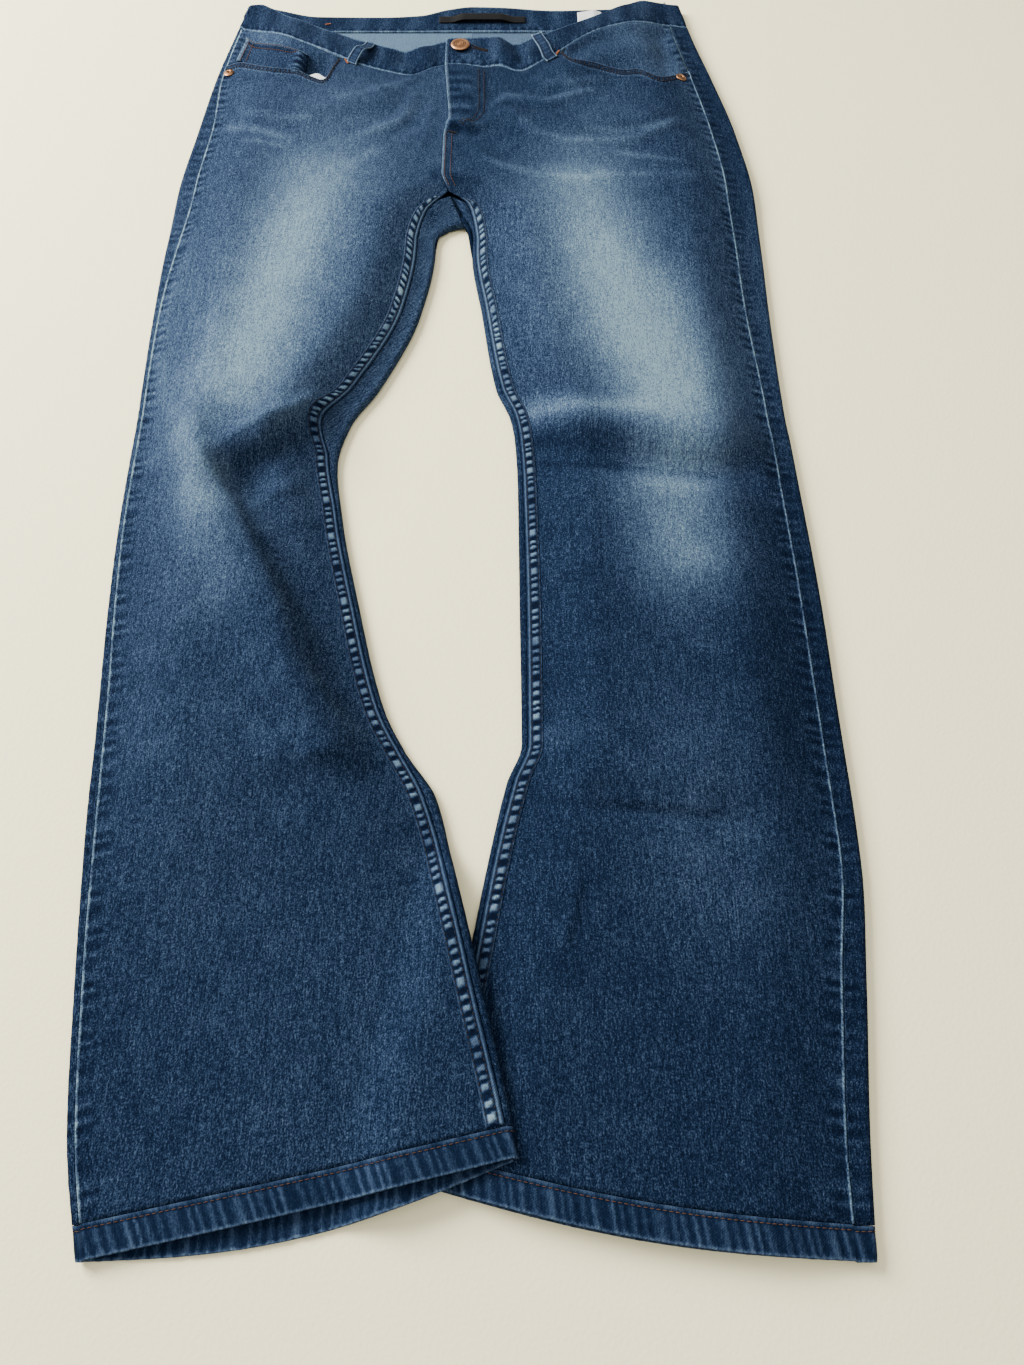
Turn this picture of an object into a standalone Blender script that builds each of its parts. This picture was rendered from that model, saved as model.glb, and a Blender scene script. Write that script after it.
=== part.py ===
"""Bootcut jeans laid flat on their back, fly side up, as separate pieces of cloth.

The tables are in centimetres: x runs across the jeans with the wearer's right leg at
negative x, y runs from the hems up to the waist, and z is the height above the surface
that the jeans lie on.  Each half of the jeans, a leg with its half of the seat, is a
flattened tube.  Two height fields over its outline give the upper and the lower skin,
and every piece is a patch of those skins, laid out on rows that run across the leg.
"""

from collections import namedtuple
import math

import bmesh
import bpy
from mathutils import Vector
import numpy as np

CM = 0.01
PLACE = (0.05, -0.45)          # moves the finished jeans so that the origin is below their middle

# Walls and gaps
CLOTH = 0.12                    # one layer of denim
BAND_CLOTH = 0.24               # denim turned double: waistband
HEM_CLOTH = 0.20                # denim turned double: hems
BAG_CLOTH = 0.08                # white pocket cloth
SEAM_GAP = 0.03                 # between two pieces that meet
SEAT_LIFT = 0.16                # the seat lies on its pockets and belt loops

# Lengths measured down the leg from the waistband's lower seam
WAIST_Y = 50.3                  # the waistband's lower seam at the side
BAND_WIDTH = 3.8
YOKE_SIDE = 3.5
YOKE_VEE = 3.0                  # how much deeper the yoke is at the centre back
FORK_ROW = 28.0                 # where the seat seam reaches the fork
JOIN_ROW = 30.8                 # where the four panels meet
LENGTH = 103.7
HEM_DEPTH = 1.6

# Fork between the legs
FORK_TIP = (0.1, 20.9)
FORK_JOIN = (-1.5, 25.3)
FORK_FOOT = 19.1                # below this the two inner edges are plain curves

# Shape of the skins
ROLL = 0.32                     # radius of the cloth where it turns over at an edge
RISE_OUT = 6.0                  # width over which the upper skin rises from an outer edge
RISE_IN = 5.0
CUT_FADE = 18.0                 # a pocket's cut bends the rows down to here
SAG_FADE = 16.0
VEE_FADE = 15.0
LAP_HEIGHT = 1.0                # the right hem rests on the left one
SAMPLES = 90

Station = namedtuple("Station", "y edge_out strip_out edge_in strip_in puff bow")
Fold = namedtuple("Fold", "height width points")
Finish = namedtuple("Finish", "name colour roughness metallic")

# y, outer edge, back cloth showing beside it, inner edge, back cloth beside that,
# rise of the upper skin, bow of the front row towards the waist
RIGHT_STATIONS = (
    Station(54.3, -21.9, 0.30, -2.4, 1.5, 1.1, 0.0),
    Station(49.0, -22.7, 0.36, -2.4, 1.5, 1.2, 0.0),
    Station(42.1, -23.6, 0.62, -2.4, 1.5, 1.2, 0.0),
    Station(34.1, -24.2, 1.38, -2.4, 1.5, 1.2, 0.0),
    Station(26.1, -24.7, 1.50, -2.4, 1.5, 1.3, 0.0),
    Station(19.1, -24.7, 1.00, -2.4, 1.5, 1.5, 0.0),
    Station(12.1, -24.5, 0.50, -3.3, 1.4, 1.8, 0.0),
    Station(4.1, -24.1, 0.40, -6.1, 1.7, 2.0, 0.0),
    Station(0.6, -23.9, 0.40, -8.0, 1.9, 2.1, 0.0),
    Station(-2.9, -23.8, 0.40, -8.7, 0.6, 2.0, 0.0),
    Station(-7.9, -23.6, 0.40, -8.0, 0.32, 1.9, 0.0),
    Station(-14.9, -23.1, 0.50, -6.4, 0.32, 1.9, 0.0),
    Station(-22.9, -22.3, 0.60, -4.2, 0.32, 1.7, 0.0),
    Station(-25.9, -22.0, 0.60, -2.7, 0.32, 1.6, 0.0),
    Station(-28.9, -21.75, 0.65, -0.7, 0.70, 1.4, 0.0),
    Station(-32.9, -21.3, 0.60, 0.4, 0.50, 1.2, 0.0),
    Station(-39.9, -20.4, 0.50, 2.2, 0.50, 1.0, 0.0),
    Station(-47.9, -19.2, 0.50, 4.1, 0.40, 0.8, 0.0),
    Station(-53.6, -17.6, 0.40, 5.0, 0.32, 0.7, -0.1),
)
LEFT_STATIONS = (
    Station(54.3, 20.3, 1.60, 0.6, 0.32, 1.1, 0.0),
    Station(48.1, 21.3, 1.80, 0.6, 0.32, 1.2, 0.0),
    Station(42.1, 22.5, 2.00, 0.6, 0.32, 1.2, 0.0),
    Station(34.1, 23.9, 2.30, 0.6, 0.32, 1.2, 0.0),
    Station(26.1, 24.6, 2.40, 0.6, 0.32, 1.3, 0.0),
    Station(19.1, 24.5, 2.20, 0.6, 0.32, 1.5, 0.0),
    Station(12.1, 24.3, 2.00, 1.5, 0.32, 1.7, 0.0),
    Station(4.1, 24.2, 1.50, 2.7, 0.35, 1.7, 0.0),
    Station(1.1, 24.2, 1.40, 3.8, 0.32, 1.7, 0.0),
    Station(-0.9, 24.3, 1.40, 4.1, 0.32, 1.7, 0.0),
    Station(-4.9, 24.4, 1.40, 4.3, 0.35, 1.5, 0.0),
    Station(-14.9, 24.6, 1.40, 4.4, 0.45, 1.4, 0.0),
    Station(-25.4, 24.5, 1.30, 4.5, 0.36, 1.4, 0.0),
    Station(-27.9, 24.5, 1.30, 3.6, 0.40, 1.2, 0.0),
    Station(-32.9, 24.4, 1.20, 2.5, 0.32, 0.9, 0.0),
    Station(-39.9, 23.6, 1.40, 1.2, 0.32, 0.7, 0.0),
    Station(-47.9, 22.5, 1.30, -0.5, 0.32, 0.6, -0.4),
    Station(-53.6, 21.9, 1.00, -1.1, 0.32, 0.6, -0.75),
)

# The back hem hangs lower than the front one between the leg's edges
HEM_SAG = {"right": 1.25, "left": 0.8}
SAG_FROM = 80.0

# The upper edge of the waistband's back: x, drop below the band's full width
BACK_EDGE = ((-19.5, 0.0), (-15.0, 1.0), (-8.9, 1.1), (-5.0, 0.9), (-2.4, 0.2), (0.0, -0.2), (2.7, 0.0),
             (8.0, 0.4), (14.0, 0.0))

# The inseam from the join down to the fork's foot: y, x
RIGHT_INSEAM_HEAD = ((25.3, -1.5), (23.1, -3.2), (21.1, -3.7), (19.1, -3.9))
LEFT_INSEAM_HEAD = ((25.3, -1.5), (23.6, -0.1), (21.6, 0.6), (19.1, 0.8))

# How far a front row's inner end lies above its outer end: row, right leg, left leg
ROW_LIFT = ((30.8, 5.8, 5.8), (34.0, 4.2, 4.2), (38.0, 2.6, 2.6), (44.0, 1.0, 1.0),
            (50.0, 0.2, 0.3), (60.0, 1.2, 0.9), (80.0, 3.2, 2.2), (103.7, 4.6, 3.4))
# The same where a row turns over the inner edge: row, lift
EDGE_LIFT = ((30.8, -0.4), (34.0, 0.6), (38.0, 1.2), (44.0, 0.9))

# Centre front line: y, x
FLY_LINE = ((54.3, -2.4), (43.1, -2.3), (38.7, -2.0), (34.2, -1.7), (32.0, -2.1), (27.0, -2.1), (25.3, -1.5))

# Waistband on the front: x, y of its lower seam
WAIST_SEAM = ((-22.5, 50.3), (-19.9, 48.8), (-16.2, 46.3), (-14.0, 45.0), (-11.7, 43.5), (-10.0, 42.4),
              (-7.7, 41.4), (-5.5, 40.8), (-3.2, 42.0), (-2.2, 42.3), (1.1, 41.8), (2.6, 42.1),
              (4.6, 41.3), (6.5, 42.7), (8.3, 44.4), (10.7, 46.9), (12.6, 48.2), (16.1, 49.4), (19.6, 50.3))
# and of its upper edge, with how far that edge drops below the skin: x, y, drop
WAIST_EDGE = ((-22.0, 54.1, 0.0), (-20.6, 53.9, 0.1), (-19.5, 53.1, 0.3), (-17.6, 51.3, 0.5),
              (-15.2, 49.6, 0.5), (-12.9, 48.1, 0.4), (-9.0, 45.9, 0.2), (-6.2, 44.9, 0.1),
              (-4.2, 45.6, 0.1), (-2.4, 46.4, 0.0), (-0.4, 46.5, 0.0), (2.5, 46.6, 0.0), (4.0, 45.8, 0.1),
              (6.3, 47.0, 0.1), (9.4, 49.2, 0.3), (12.2, 51.3, 0.5), (15.0, 53.2, 0.5), (17.0, 54.0, 0.2),
              (18.9, 54.1, 0.0))

# Front pocket openings: x, depth of the cut below the waistband's seam
RIGHT_CUT = ((-23.4, 7.0), (-20.4, 5.3), (-17.9, 5.4), (-15.7, 4.9), (-14.6, 5.8), (-13.4, 6.2),
             (-12.9, 5.4), (-12.4, 2.6), (-11.7, 0.0), (0.0, 0.0))
LEFT_CUT = ((-3.0, 0.0), (8.5, 0.0), (9.3, 2.6), (10.5, 4.1), (11.5, 4.5), (13.1, 6.1), (14.0, 6.9),
            (16.0, 7.6), (17.5, 8.8), (18.4, 8.5), (20.2, 7.2))

# Largest folds of the upper skin; a trough has a negative height
FOLDS = (
    Fold(0.9, 2.6, ((-9.9, 0.3), (-14.2, -1.8), (-17.2, -3.6))),
    Fold(-0.9, 2.2, ((-9.8, -3.2), (-12.6, -5.4), (-14.6, -7.4))),
    Fold(1.0, 2.8, ((-20.5, -4.5), (-16.8, -9.6), (-12.6, -17.0), (-9.6, -22.2), (-6.0, -25.6))),
    Fold(-0.9, 2.2, ((-13.2, -7.2), (-9.2, -16.0), (-6.0, -22.0))),
    Fold(0.5, 1.4, ((-10.2, -26.4), (-6.6, -26.0), (-2.4, -26.9))),
    Fold(-0.5, 1.3, ((-9.8, -28.4), (-6.2, -28.1), (-2.6, -28.8))),
    Fold(1.0, 2.2, ((4.8, -0.2), (11.5, -0.6), (17.0, -1.4), (21.5, -2.8))),
    Fold(-1.0, 1.7, ((5.0, -3.9), (11.1, -4.2), (16.2, -5.3), (20.0, -6.0))),
    Fold(0.6, 1.8, ((5.4, -25.6), (9.0, -27.4), (14.8, -28.6))),
    Fold(-0.6, 1.3, ((4.2, -29.2), (10.9, -30.1), (18.0, -30.9))),
    Fold(0.5, 1.8, ((9.0, 41.6), (12.5, 44.6), (16.5, 45.6))),
    Fold(0.35, 1.6, ((-8.0, 37.5), (-14.0, 35.6), (-19.5, 36.4))),
    Fold(0.35, 1.6, ((4.0, 35.2), (9.5, 33.6), (16.0, 34.6))),
    Fold(0.25, 1.6, ((-0.4, 41.0), (-0.2, 36.0), (-0.6, 33.6))),
)
CUT_CORNER = {"right": -11.7, "left": 8.5}
FACING_DEPTH = 0.42                     # the pocket bag and the coin pocket lie between
COIN_CLOTH = 0.10
GAPE = Fold(0.75, 1.5, ((-13.9, 42.6), (-13.6, 41.0)))   # the right pocket hangs open here

# Where the rows lie, measured down the leg, and the columns of a front panel
ROWS = (0.0, 3.0, 6.0, 9.0, 12.5, 16.0, 20.0, 24.0, 28.0, 28.7, 29.4, 30.1, 30.8, 33.5, 37.0, 41.0, 45.0,
        48.0, 50.5, 53.0, 55.5, 58.5, 62.5, 66.5, 70.5, 74.0, 76.5, 79.0, 82.0, 86.0, 91.0, 96.5, 102.1)
FRONT_FRACTIONS = (0.0, 0.02, 0.06, 0.13, 0.21, 0.29, 0.37, 0.43, 0.48, 0.52, 0.56, 0.64, 0.74, 0.84,
                   0.93, 1.0)
RIDGE_COLUMNS = (0.97, 0.55, 0.22, 0.0)   # distances from the inner seam: the felled seam's width
FACING_COLUMNS = 12                       # the front's columns that a pocket's facing shares
BAG_COLUMNS = (4, 13)
COIN_COLUMNS = (2, 7)
FLOOR_COLUMNS = 8                         # the back's columns between its two turned edges

DENIM = Finish("denim", (0.045, 0.095, 0.22, 1.0), 0.85, 0.0)
DENIM_BACK = Finish("denim_back", (0.028, 0.060, 0.15, 1.0), 0.85, 0.0)
SEAM_DENIM = Finish("seam_denim", (0.075, 0.14, 0.26, 1.0), 0.85, 0.0)
POCKET_WHITE = Finish("pocket_white", (0.72, 0.74, 0.72, 1.0), 0.9, 0.0)
BLACK_TAPE = Finish("black_tape", (0.012, 0.012, 0.014, 1.0), 0.7, 0.0)
COPPER = Finish("copper", (0.72, 0.36, 0.20, 1.0), 0.35, 1.0)
BRASS = Finish("brass", (0.60, 0.46, 0.22, 1.0), 0.4, 1.0)


def curve(knots, values):
    """Return a smooth function through a table's rows that never overshoots them."""
    order = np.argsort(knots)
    xs = np.asarray(knots, float)[order]
    ys = np.asarray(values, float)[order]
    steps = np.diff(xs)
    slopes = np.diff(ys) / steps
    product = slopes[:-1] * slopes[1:]
    total = slopes[:-1] + slopes[1:]
    inner = np.where(product > 0, 2 * product / np.where(total == 0, 1, total), 0.0)
    tangents = np.concatenate(([slopes[0]], inner, [slopes[-1]]))

    def value(x):
        x = np.clip(np.asarray(x, float), xs[0], xs[-1])
        i = np.clip(np.searchsorted(xs, x) - 1, 0, len(steps) - 1)
        t = (x - xs[i]) / steps[i]
        rise = ys[i] * (1 + 2 * t) * (1 - t) ** 2 + ys[i + 1] * t ** 2 * (3 - 2 * t)
        return rise + steps[i] * (tangents[i] * t * (1 - t) ** 2 - tangents[i + 1] * t ** 2 * (1 - t))

    return value


def column(table, knot, value):
    """Return the smooth curve of one column of a table over another."""
    return curve([row[knot] for row in table], [row[value] for row in table])


def smooth(value, low=0.0, high=1.0):
    """Return 0 below low, 1 above high and an even rise between them."""
    t = np.clip((np.asarray(value, float) - low) / (high - low), 0.0, 1.0)
    return t * t * (3 - 2 * t)


def distance_to(line, x, y):
    """Return how far points lie from a line of joined points."""
    x, y = np.broadcast_arrays(np.asarray(x, float), np.asarray(y, float))
    nearest = np.full(x.shape, np.inf)
    for (ax, ay), (bx, by) in zip(line[:-1], line[1:]):
        dx, dy = bx - ax, by - ay
        t = np.clip(((x - ax) * dx + (y - ay) * dy) / (dx * dx + dy * dy), 0.0, 1.0)
        nearest = np.minimum(nearest, np.hypot(x - ax - t * dx, y - ay - t * dy))
    return nearest


def fold_height(fold, x, y):
    """Return a fold's height over the skin, or its depth below it."""
    return fold.height * np.exp(-(distance_to(fold.points, x, y) / fold.width) ** 2)


waist_seam = column(WAIST_SEAM, 0, 1)
waist_edge = column(WAIST_EDGE, 0, 1)
waist_drop = column(WAIST_EDGE, 0, 2)
fly_line = column(FLY_LINE, 0, 1)
edge_lift = column(EDGE_LIFT, 0, 1)
back_edge = column(BACK_EDGE, 0, 1)


def outer_y(row):
    """Return the y of a row's end at the outer edge."""
    return WAIST_Y - row


class Half:
    """One leg with its half of the seat: its outline, its two skins and its rows."""

    def __init__(self, name, toward, stations, inseam_head, cut, lift_column):
        self.name = name
        self.toward = toward                      # +1 where its inner side is at greater x
        self.edge_out = column(stations, 0, 1)
        self.strip_out = column(stations, 0, 2)
        self.edge_in = column(stations, 0, 3)
        self.strip_in = column(stations, 0, 4)
        self.puff = column(stations, 0, 5)
        self.bow = column(stations, 0, 6)
        self.inseam_head = column(inseam_head, 0, 1)
        self.cut = column(cut, 0, 1)
        self.row_lift = column(ROW_LIFT, 0, lift_column)
        heights = np.arange(54.4, -53.8, -0.4)
        self.outer_line = [(float(self.edge_out(y)), y) for y in heights]
        legs = heights[heights < FORK_FOOT]
        turn = [self.fork_edge(step / 12) for step in range(13)]
        self.inner_line = turn + [(float(self.edge_in(y)), y) for y in legs]

    def fork_edge(self, turn):
        """Return the inner edge between the fork's tip, 0, and its foot, 1."""
        angle = turn * math.pi / 2
        foot = float(self.edge_in(FORK_FOOT))
        x = FORK_TIP[0] + (foot - FORK_TIP[0]) * math.sin(angle)
        return x, FORK_FOOT + (FORK_TIP[1] - FORK_FOOT) * math.cos(angle)

    def floor(self, x, y):
        """Return the height of the lowest cloth at a point."""
        lifted = SEAT_LIFT * smooth(y, 21.0, 26.5)
        if self.toward < 0:
            return lifted
        under = LEFT.edge_in(y)
        lap = smooth(x, under - 4.4, under - 1.2) * smooth(-y, 31.0, 34.0)
        return lifted + LAP_HEIGHT * lap

    def skins(self, x, y):
        """Return the heights of the lower and the upper skin at points of the outline."""
        x, y = np.broadcast_arrays(np.asarray(x, float), np.asarray(y, float))
        from_out = distance_to(self.outer_line, x, y)
        from_in = distance_to(self.inner_line, x, y)
        edge = np.clip(np.minimum(from_out, from_in) / ROLL, 0.0, 1.0)
        turned = ROLL * np.sqrt(1 - (1 - edge) ** 2)
        rise = smooth(from_out - ROLL, 0.0, RISE_OUT) * smooth(from_in - ROLL, 0.0, RISE_IN)
        folds = sum(fold_height(fold, x, y) for fold in FOLDS)
        swell = self.puff(y) + folds
        if self.toward < 0:
            swell = swell * (1 - smooth(-y, 30.0, 33.0) * (1 - smooth(x, RIGHT.edge_in(y) + 0.2,
                                                                        RIGHT.edge_in(y) + 3.8)))
        ground = self.floor(x, y)
        return ground + ROLL - turned, ground + ROLL + turned + swell * rise

    def lower(self, x, y):
        """Return the height of the lower skin."""
        return self.skins(x, y)[0]

    def upper(self, x, y):
        """Return the height of the upper skin."""
        return self.skins(x, y)[1]

    def seam_out(self, row, aside=0.0):
        """Return the outseam's point on a row, or one that far beside it, inwards."""
        y = outer_y(row)
        return float(self.edge_out(y) + self.toward * (self.strip_out(y) + aside)), y

    def inner_y(self, row):
        """Return the y of a front row's end at the centre front or the inseam."""
        top = float(waist_seam(-2.2))
        if row <= JOIN_ROW:
            return top + (FORK_JOIN[1] - top) * row / JOIN_ROW
        return outer_y(row) + float(self.row_lift(row))

    def seam_in(self, row, aside=0.0):
        """Return the end of a front row, or a point that far beside it, inwards.

        The end lies on the fly line, and below the join on the inseam.
        """
        y = self.inner_y(row)
        if row <= JOIN_ROW:
            x = float(fly_line(y))
        elif y > FORK_FOOT:
            x = float(self.inseam_head(y))
        else:
            x = float(self.edge_in(y) - self.toward * self.strip_in(y))
        return x - self.toward * aside, y

    def turn_in(self, row):
        """Return the point where a row turns over the inner edge."""
        if row < EDGE_LIFT[-1][0]:
            y = outer_y(row) + float(edge_lift(row))
        else:
            y = self.inner_y(row)
        return float(self.edge_in(y)), y

    def front_y(self, x, row):
        """Return the y of a front row, or of the waistband where row is below 0."""
        x = np.asarray(x, float)
        row = np.broadcast_to(np.asarray(row, float), x.shape)
        body = np.maximum(row, 0.0)
        x_out = self.edge_out(outer_y(body))
        ends = [self.seam_in(value) for value in body.ravel()]
        x_in = np.array([end[0] for end in ends]).reshape(x.shape)
        y_in = np.array([end[1] for end in ends]).reshape(x.shape)
        t = np.clip((x - x_out) / (x_in - x_out), 0.0, 1.0)
        straight = outer_y(body) + (y_in - outer_y(body)) * t
        top_out, top_in = WAIST_Y, float(waist_seam(-2.2))
        u = np.clip((x - self.edge_out(WAIST_Y)) / (-2.2 - self.edge_out(WAIST_Y)), 0.0, 1.0)
        sag = waist_seam(x) - (top_out + (top_in - top_out) * u)
        fade = np.clip(1 - body / SAG_FADE, 0.0, 1.0) ** 2
        bow = self.bow(outer_y(body)) * np.sin(math.pi * t)
        up = np.clip(-row / BAND_WIDTH, 0.0, None)
        return straight + sag * fade + bow + up * (waist_edge(x) - waist_seam(x))

    def front(self, x, row):
        """Return points of the upper skin on front rows; a row below 0 is the waistband's."""
        x = np.asarray(x, float)
        y = self.front_y(x, row)
        drop = np.clip(-np.asarray(row, float) / BAND_WIDTH, 0.0, None) * waist_drop(x)
        return np.stack((x, y, self.upper(x, y) - drop), axis=-1)

    def run(self, start, end, skin, bend=None):
        """Return points from start to end on a skin, closest together at both ends."""
        t = (1 - np.cos(math.pi * np.linspace(0, 1, SAMPLES))) / 2
        x = start[0] + (end[0] - start[0]) * t
        y = start[1] + (end[1] - start[1]) * t
        if bend is not None:
            y = y + bend(x)
        return np.stack((x, y, skin(x, y)), axis=-1)

    def seat_vee(self, row):
        """Return how a back row dips towards the centre back, as a function of x."""
        if row < 0:
            return lambda x: row / BAND_WIDTH * back_edge(x)
        deep = smooth(row, 0.0, YOKE_SIDE) * (1 - smooth(row, YOKE_SIDE, VEE_FADE))
        edge = float(self.edge_out(outer_y(row)))
        return lambda x: -YOKE_VEE * deep * np.clip((x - edge) / (FORK_TIP[0] - edge), 0.0, 1.0)

    def hem_sag(self, row, start, end):
        """Return how a back row hangs down between its ends near the hem, as a function of x."""
        deep = HEM_SAG[self.name] * smooth(row, SAG_FROM, LENGTH)
        return lambda x: -deep * np.sin(math.pi * np.clip((x - start) / (end - start), 0.0, 1.0))

    def back_path(self, row):
        """Return a back row: from the outseam round the outer edge, along the floor and on."""
        seam = self.seam_out(row, -SEAM_GAP / 2)
        edge = (float(self.edge_out(seam[1])), seam[1])
        around = [self.run(seam, edge, self.upper)]
        if row <= FORK_ROW:
            middle = (FORK_TIP[0] - self.toward * SEAM_GAP / 2, seam[1])
            around.append(self.run(edge, middle, self.lower, self.seat_vee(row)))
        elif row <= JOIN_ROW:
            around += self.fork_runs(edge, (row - FORK_ROW) / (JOIN_ROW - FORK_ROW))
        else:
            turn = self.turn_in(row)
            around.append(self.run(edge, turn, self.lower, self.hem_sag(row, edge[0], turn[0])))
            around.append(self.run(turn, self.seam_in(row, -SEAM_GAP / 2), self.upper))
        return np.concatenate([around[0]] + [part[1:] for part in around[1:]])

    def fork_runs(self, edge, share):
        """Return the runs of a row whose end lies on the seat seam round the fork's tip."""
        below = 0.25
        beside = Vector((-self.toward * 1.7 * SEAM_GAP, 0.0))
        tip = Vector(FORK_TIP) + beside
        if share <= below:
            end = tip + Vector((0.0, 1.2 * ROLL * (1 - share / below)))
            return [self.run(edge, end, self.lower)]
        past = (share - below) / (1 - below)
        turn = self.fork_edge(past)
        crown = Vector(FORK_JOIN).lerp(Vector(FORK_TIP), 0.14) + beside * 0.9
        end = tip.lerp(crown, past ** 1.6)
        return [self.run(edge, turn, self.lower), self.run(turn, end, self.upper)]


RIGHT = Half("right", 1, RIGHT_STATIONS, RIGHT_INSEAM_HEAD, RIGHT_CUT, 1)
LEFT = Half("left", -1, LEFT_STATIONS, LEFT_INSEAM_HEAD, LEFT_CUT, 2)
HALVES = (RIGHT, LEFT)


def end_places(strip):
    """Return places along a path near one end, where a strip of it leads to a turned edge."""
    quarter = ROLL * math.pi / 2
    edge = max(strip, 0.40)
    return [0.0, 0.08, max(0.13, strip - quarter), max(0.26, strip - quarter / 2), edge,
            edge + quarter / 2, edge + quarter]


def back_row(half, row):
    """Return a back row's points, closest together where the cloth turns over its edges."""
    path = half.back_path(row)
    along = np.concatenate(([0.0], np.cumsum(np.linalg.norm(np.diff(path, axis=0), axis=1))))
    outer_strip = along[SAMPLES - 1]
    inner_strip = along[-1] - along[2 * SAMPLES - 2]
    start, end = np.array(end_places(outer_strip)), along[-1] - np.array(end_places(inner_strip))[::-1]
    middle = np.linspace(start[-1], end[0], FLOOR_COLUMNS + 2)[1:-1]
    places = np.concatenate((start, middle, end))
    return np.stack([np.interp(places, along, path[:, axis]) for axis in range(3)], axis=-1)


def moved(points, distance):
    """Return a grid of points moved along the surface's own normals, up where positive."""
    down, across = np.gradient(points, axis=0), np.gradient(points, axis=1)
    normals = np.cross(across, down)
    normals /= np.linalg.norm(normals, axis=-1, keepdims=True)
    normals *= np.sign(normals[..., 2:3].mean())
    return points + normals * np.asarray(distance)[..., None]


def front_columns(half, row, row_at=None):
    """Return the x places of a front row's points from the outseam to its inner end.

    A row that bends round the pocket's opening is given by row_at, a function of x.
    """
    outer_row = row
    if row_at:
        for _ in range(4):
            outer_row = float(row_at(half.seam_out(outer_row)[0]))
    start = half.seam_out(outer_row, SEAM_GAP / 2)[0]
    end = half.seam_in(row, SEAM_GAP / 2)[0]
    ridge = end - half.toward * np.array(RIDGE_COLUMNS)
    return np.concatenate((start + (ridge[0] - start) * np.array(FRONT_FRACTIONS), ridge[1:]))


def front_grid(half):
    """Return a front panel's points, whose upper rows bend round the pocket's opening."""
    rows = []
    for row in ROWS:
        fade = max(0.0, 1 - row / CUT_FADE) ** 2
        start = SEAM_GAP if row == ROWS[0] else 0.0
        end = SEAM_GAP / 2 if row == ROWS[-1] else 0.0

        def row_at(x):
            return row + start - end + half.cut(x) * fade

        x = front_columns(half, row, row_at)
        rows.append(half.front(x, row_at(x)))
    return np.stack(rows)


def back_grid(half, rows):
    """Return points of the back on the given rows."""
    return np.stack([back_row(half, row) for row in rows])


def material(finish):
    """Return the plain material of a finish, made once."""
    made = bpy.data.materials.get(finish.name)
    if made:
        return made
    made = bpy.data.materials.new(finish.name)
    made.use_nodes = True
    shader = made.node_tree.nodes["Principled BSDF"]
    shader.inputs["Base Color"].default_value = finish.colour
    shader.inputs["Roughness"].default_value = finish.roughness
    shader.inputs["Metallic"].default_value = finish.metallic
    return made


def add_object(name, data, finish, collection):
    """Put a mesh or curve in the collection under a name, with its finish."""
    data.name = name
    data.materials.append(material(finish))
    piece = bpy.data.objects.new(name, data)
    piece.location = (PLACE[0] * CM, PLACE[1] * CM, 0.0)
    collection.objects.link(piece)
    return piece


def cloth(name, points, wall, finish, collection, faces="up", build="in", ring=False):
    """Make a sheet of cloth on a grid of points, with its wall on one side of them."""
    rows, columns = points.shape[:2]
    sheet = bmesh.new()
    bmesh.ops.create_grid(sheet, x_segments=columns - 1, y_segments=rows - 1, size=1.0)
    for corner in sheet.verts:
        across = round((corner.co.x + 1) / 2 * (columns - 1))
        down = round((corner.co.y + 1) / 2 * (rows - 1))
        corner.co = Vector(points[down, across]) * CM
    if ring:
        bmesh.ops.remove_doubles(sheet, verts=sheet.verts, dist=1e-6)
    sheet.normal_update()
    middle = sum((corner.co for corner in sheet.verts), Vector()) / len(sheet.verts)
    way = 0.0
    for face in sheet.faces:
        seen = {"up": Vector((0, 0, 1)), "down": Vector((0, 0, -1))}.get(faces)
        way += face.normal.dot(seen or face.calc_center_median() - middle) * face.calc_area()
    if way < 0:
        bmesh.ops.reverse_faces(sheet, faces=sheet.faces)
    mesh = bpy.data.meshes.new(name)
    sheet.to_mesh(mesh)
    sheet.free()
    mesh.shade_smooth()
    piece = add_object(name, mesh, finish, collection)
    thick = piece.modifiers.new("wall", "SOLIDIFY")
    thick.thickness = wall * CM
    thick.offset = -1.0 if build == "in" else 1.0
    return piece


def make_legs(half, collection):
    """Make a half's front, back and yoke panels and its felled inseam."""
    front = front_grid(half)
    cloth("front_" + half.name, front, CLOTH, DENIM, collection)
    yoke_rows = (SEAM_GAP, YOKE_SIDE / 2, YOKE_SIDE - SEAM_GAP / 2)
    cloth("yoke_" + half.name, back_grid(half, yoke_rows), CLOTH, DENIM_BACK, collection, "down")
    back_rows = (YOKE_SIDE + SEAM_GAP / 2,) + ROWS[2:-1] + (ROWS[-1] - SEAM_GAP / 2,)
    cloth("back_" + half.name, back_grid(half, back_rows), CLOTH, DENIM_BACK, collection, "down")
    first = ROWS.index(JOIN_ROW) + 1
    ridge = moved(front, SEAM_GAP)[first:, -len(RIDGE_COLUMNS):]
    ridge[:, -1] += (ridge[:, -2] - ridge[:, -1]) * 0.45
    cloth("inseam_" + half.name, ridge, CLOTH * 0.75, SEAM_DENIM, collection, build="out")


def hem_row(half, row):
    """Return a hem's closed row: the back's part and then the front's, back to the start."""
    back = back_row(half, row)
    t = np.linspace(0, 1, 16)
    x = back[-1, 0] + (back[0, 0] - back[-1, 0]) * (t - 0.6 * np.sin(2 * math.pi * t) / (2 * math.pi))
    front = half.front(x, row)
    front[0], front[-1] = back[-1], back[0]
    return np.concatenate((back, front[1:]))


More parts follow.
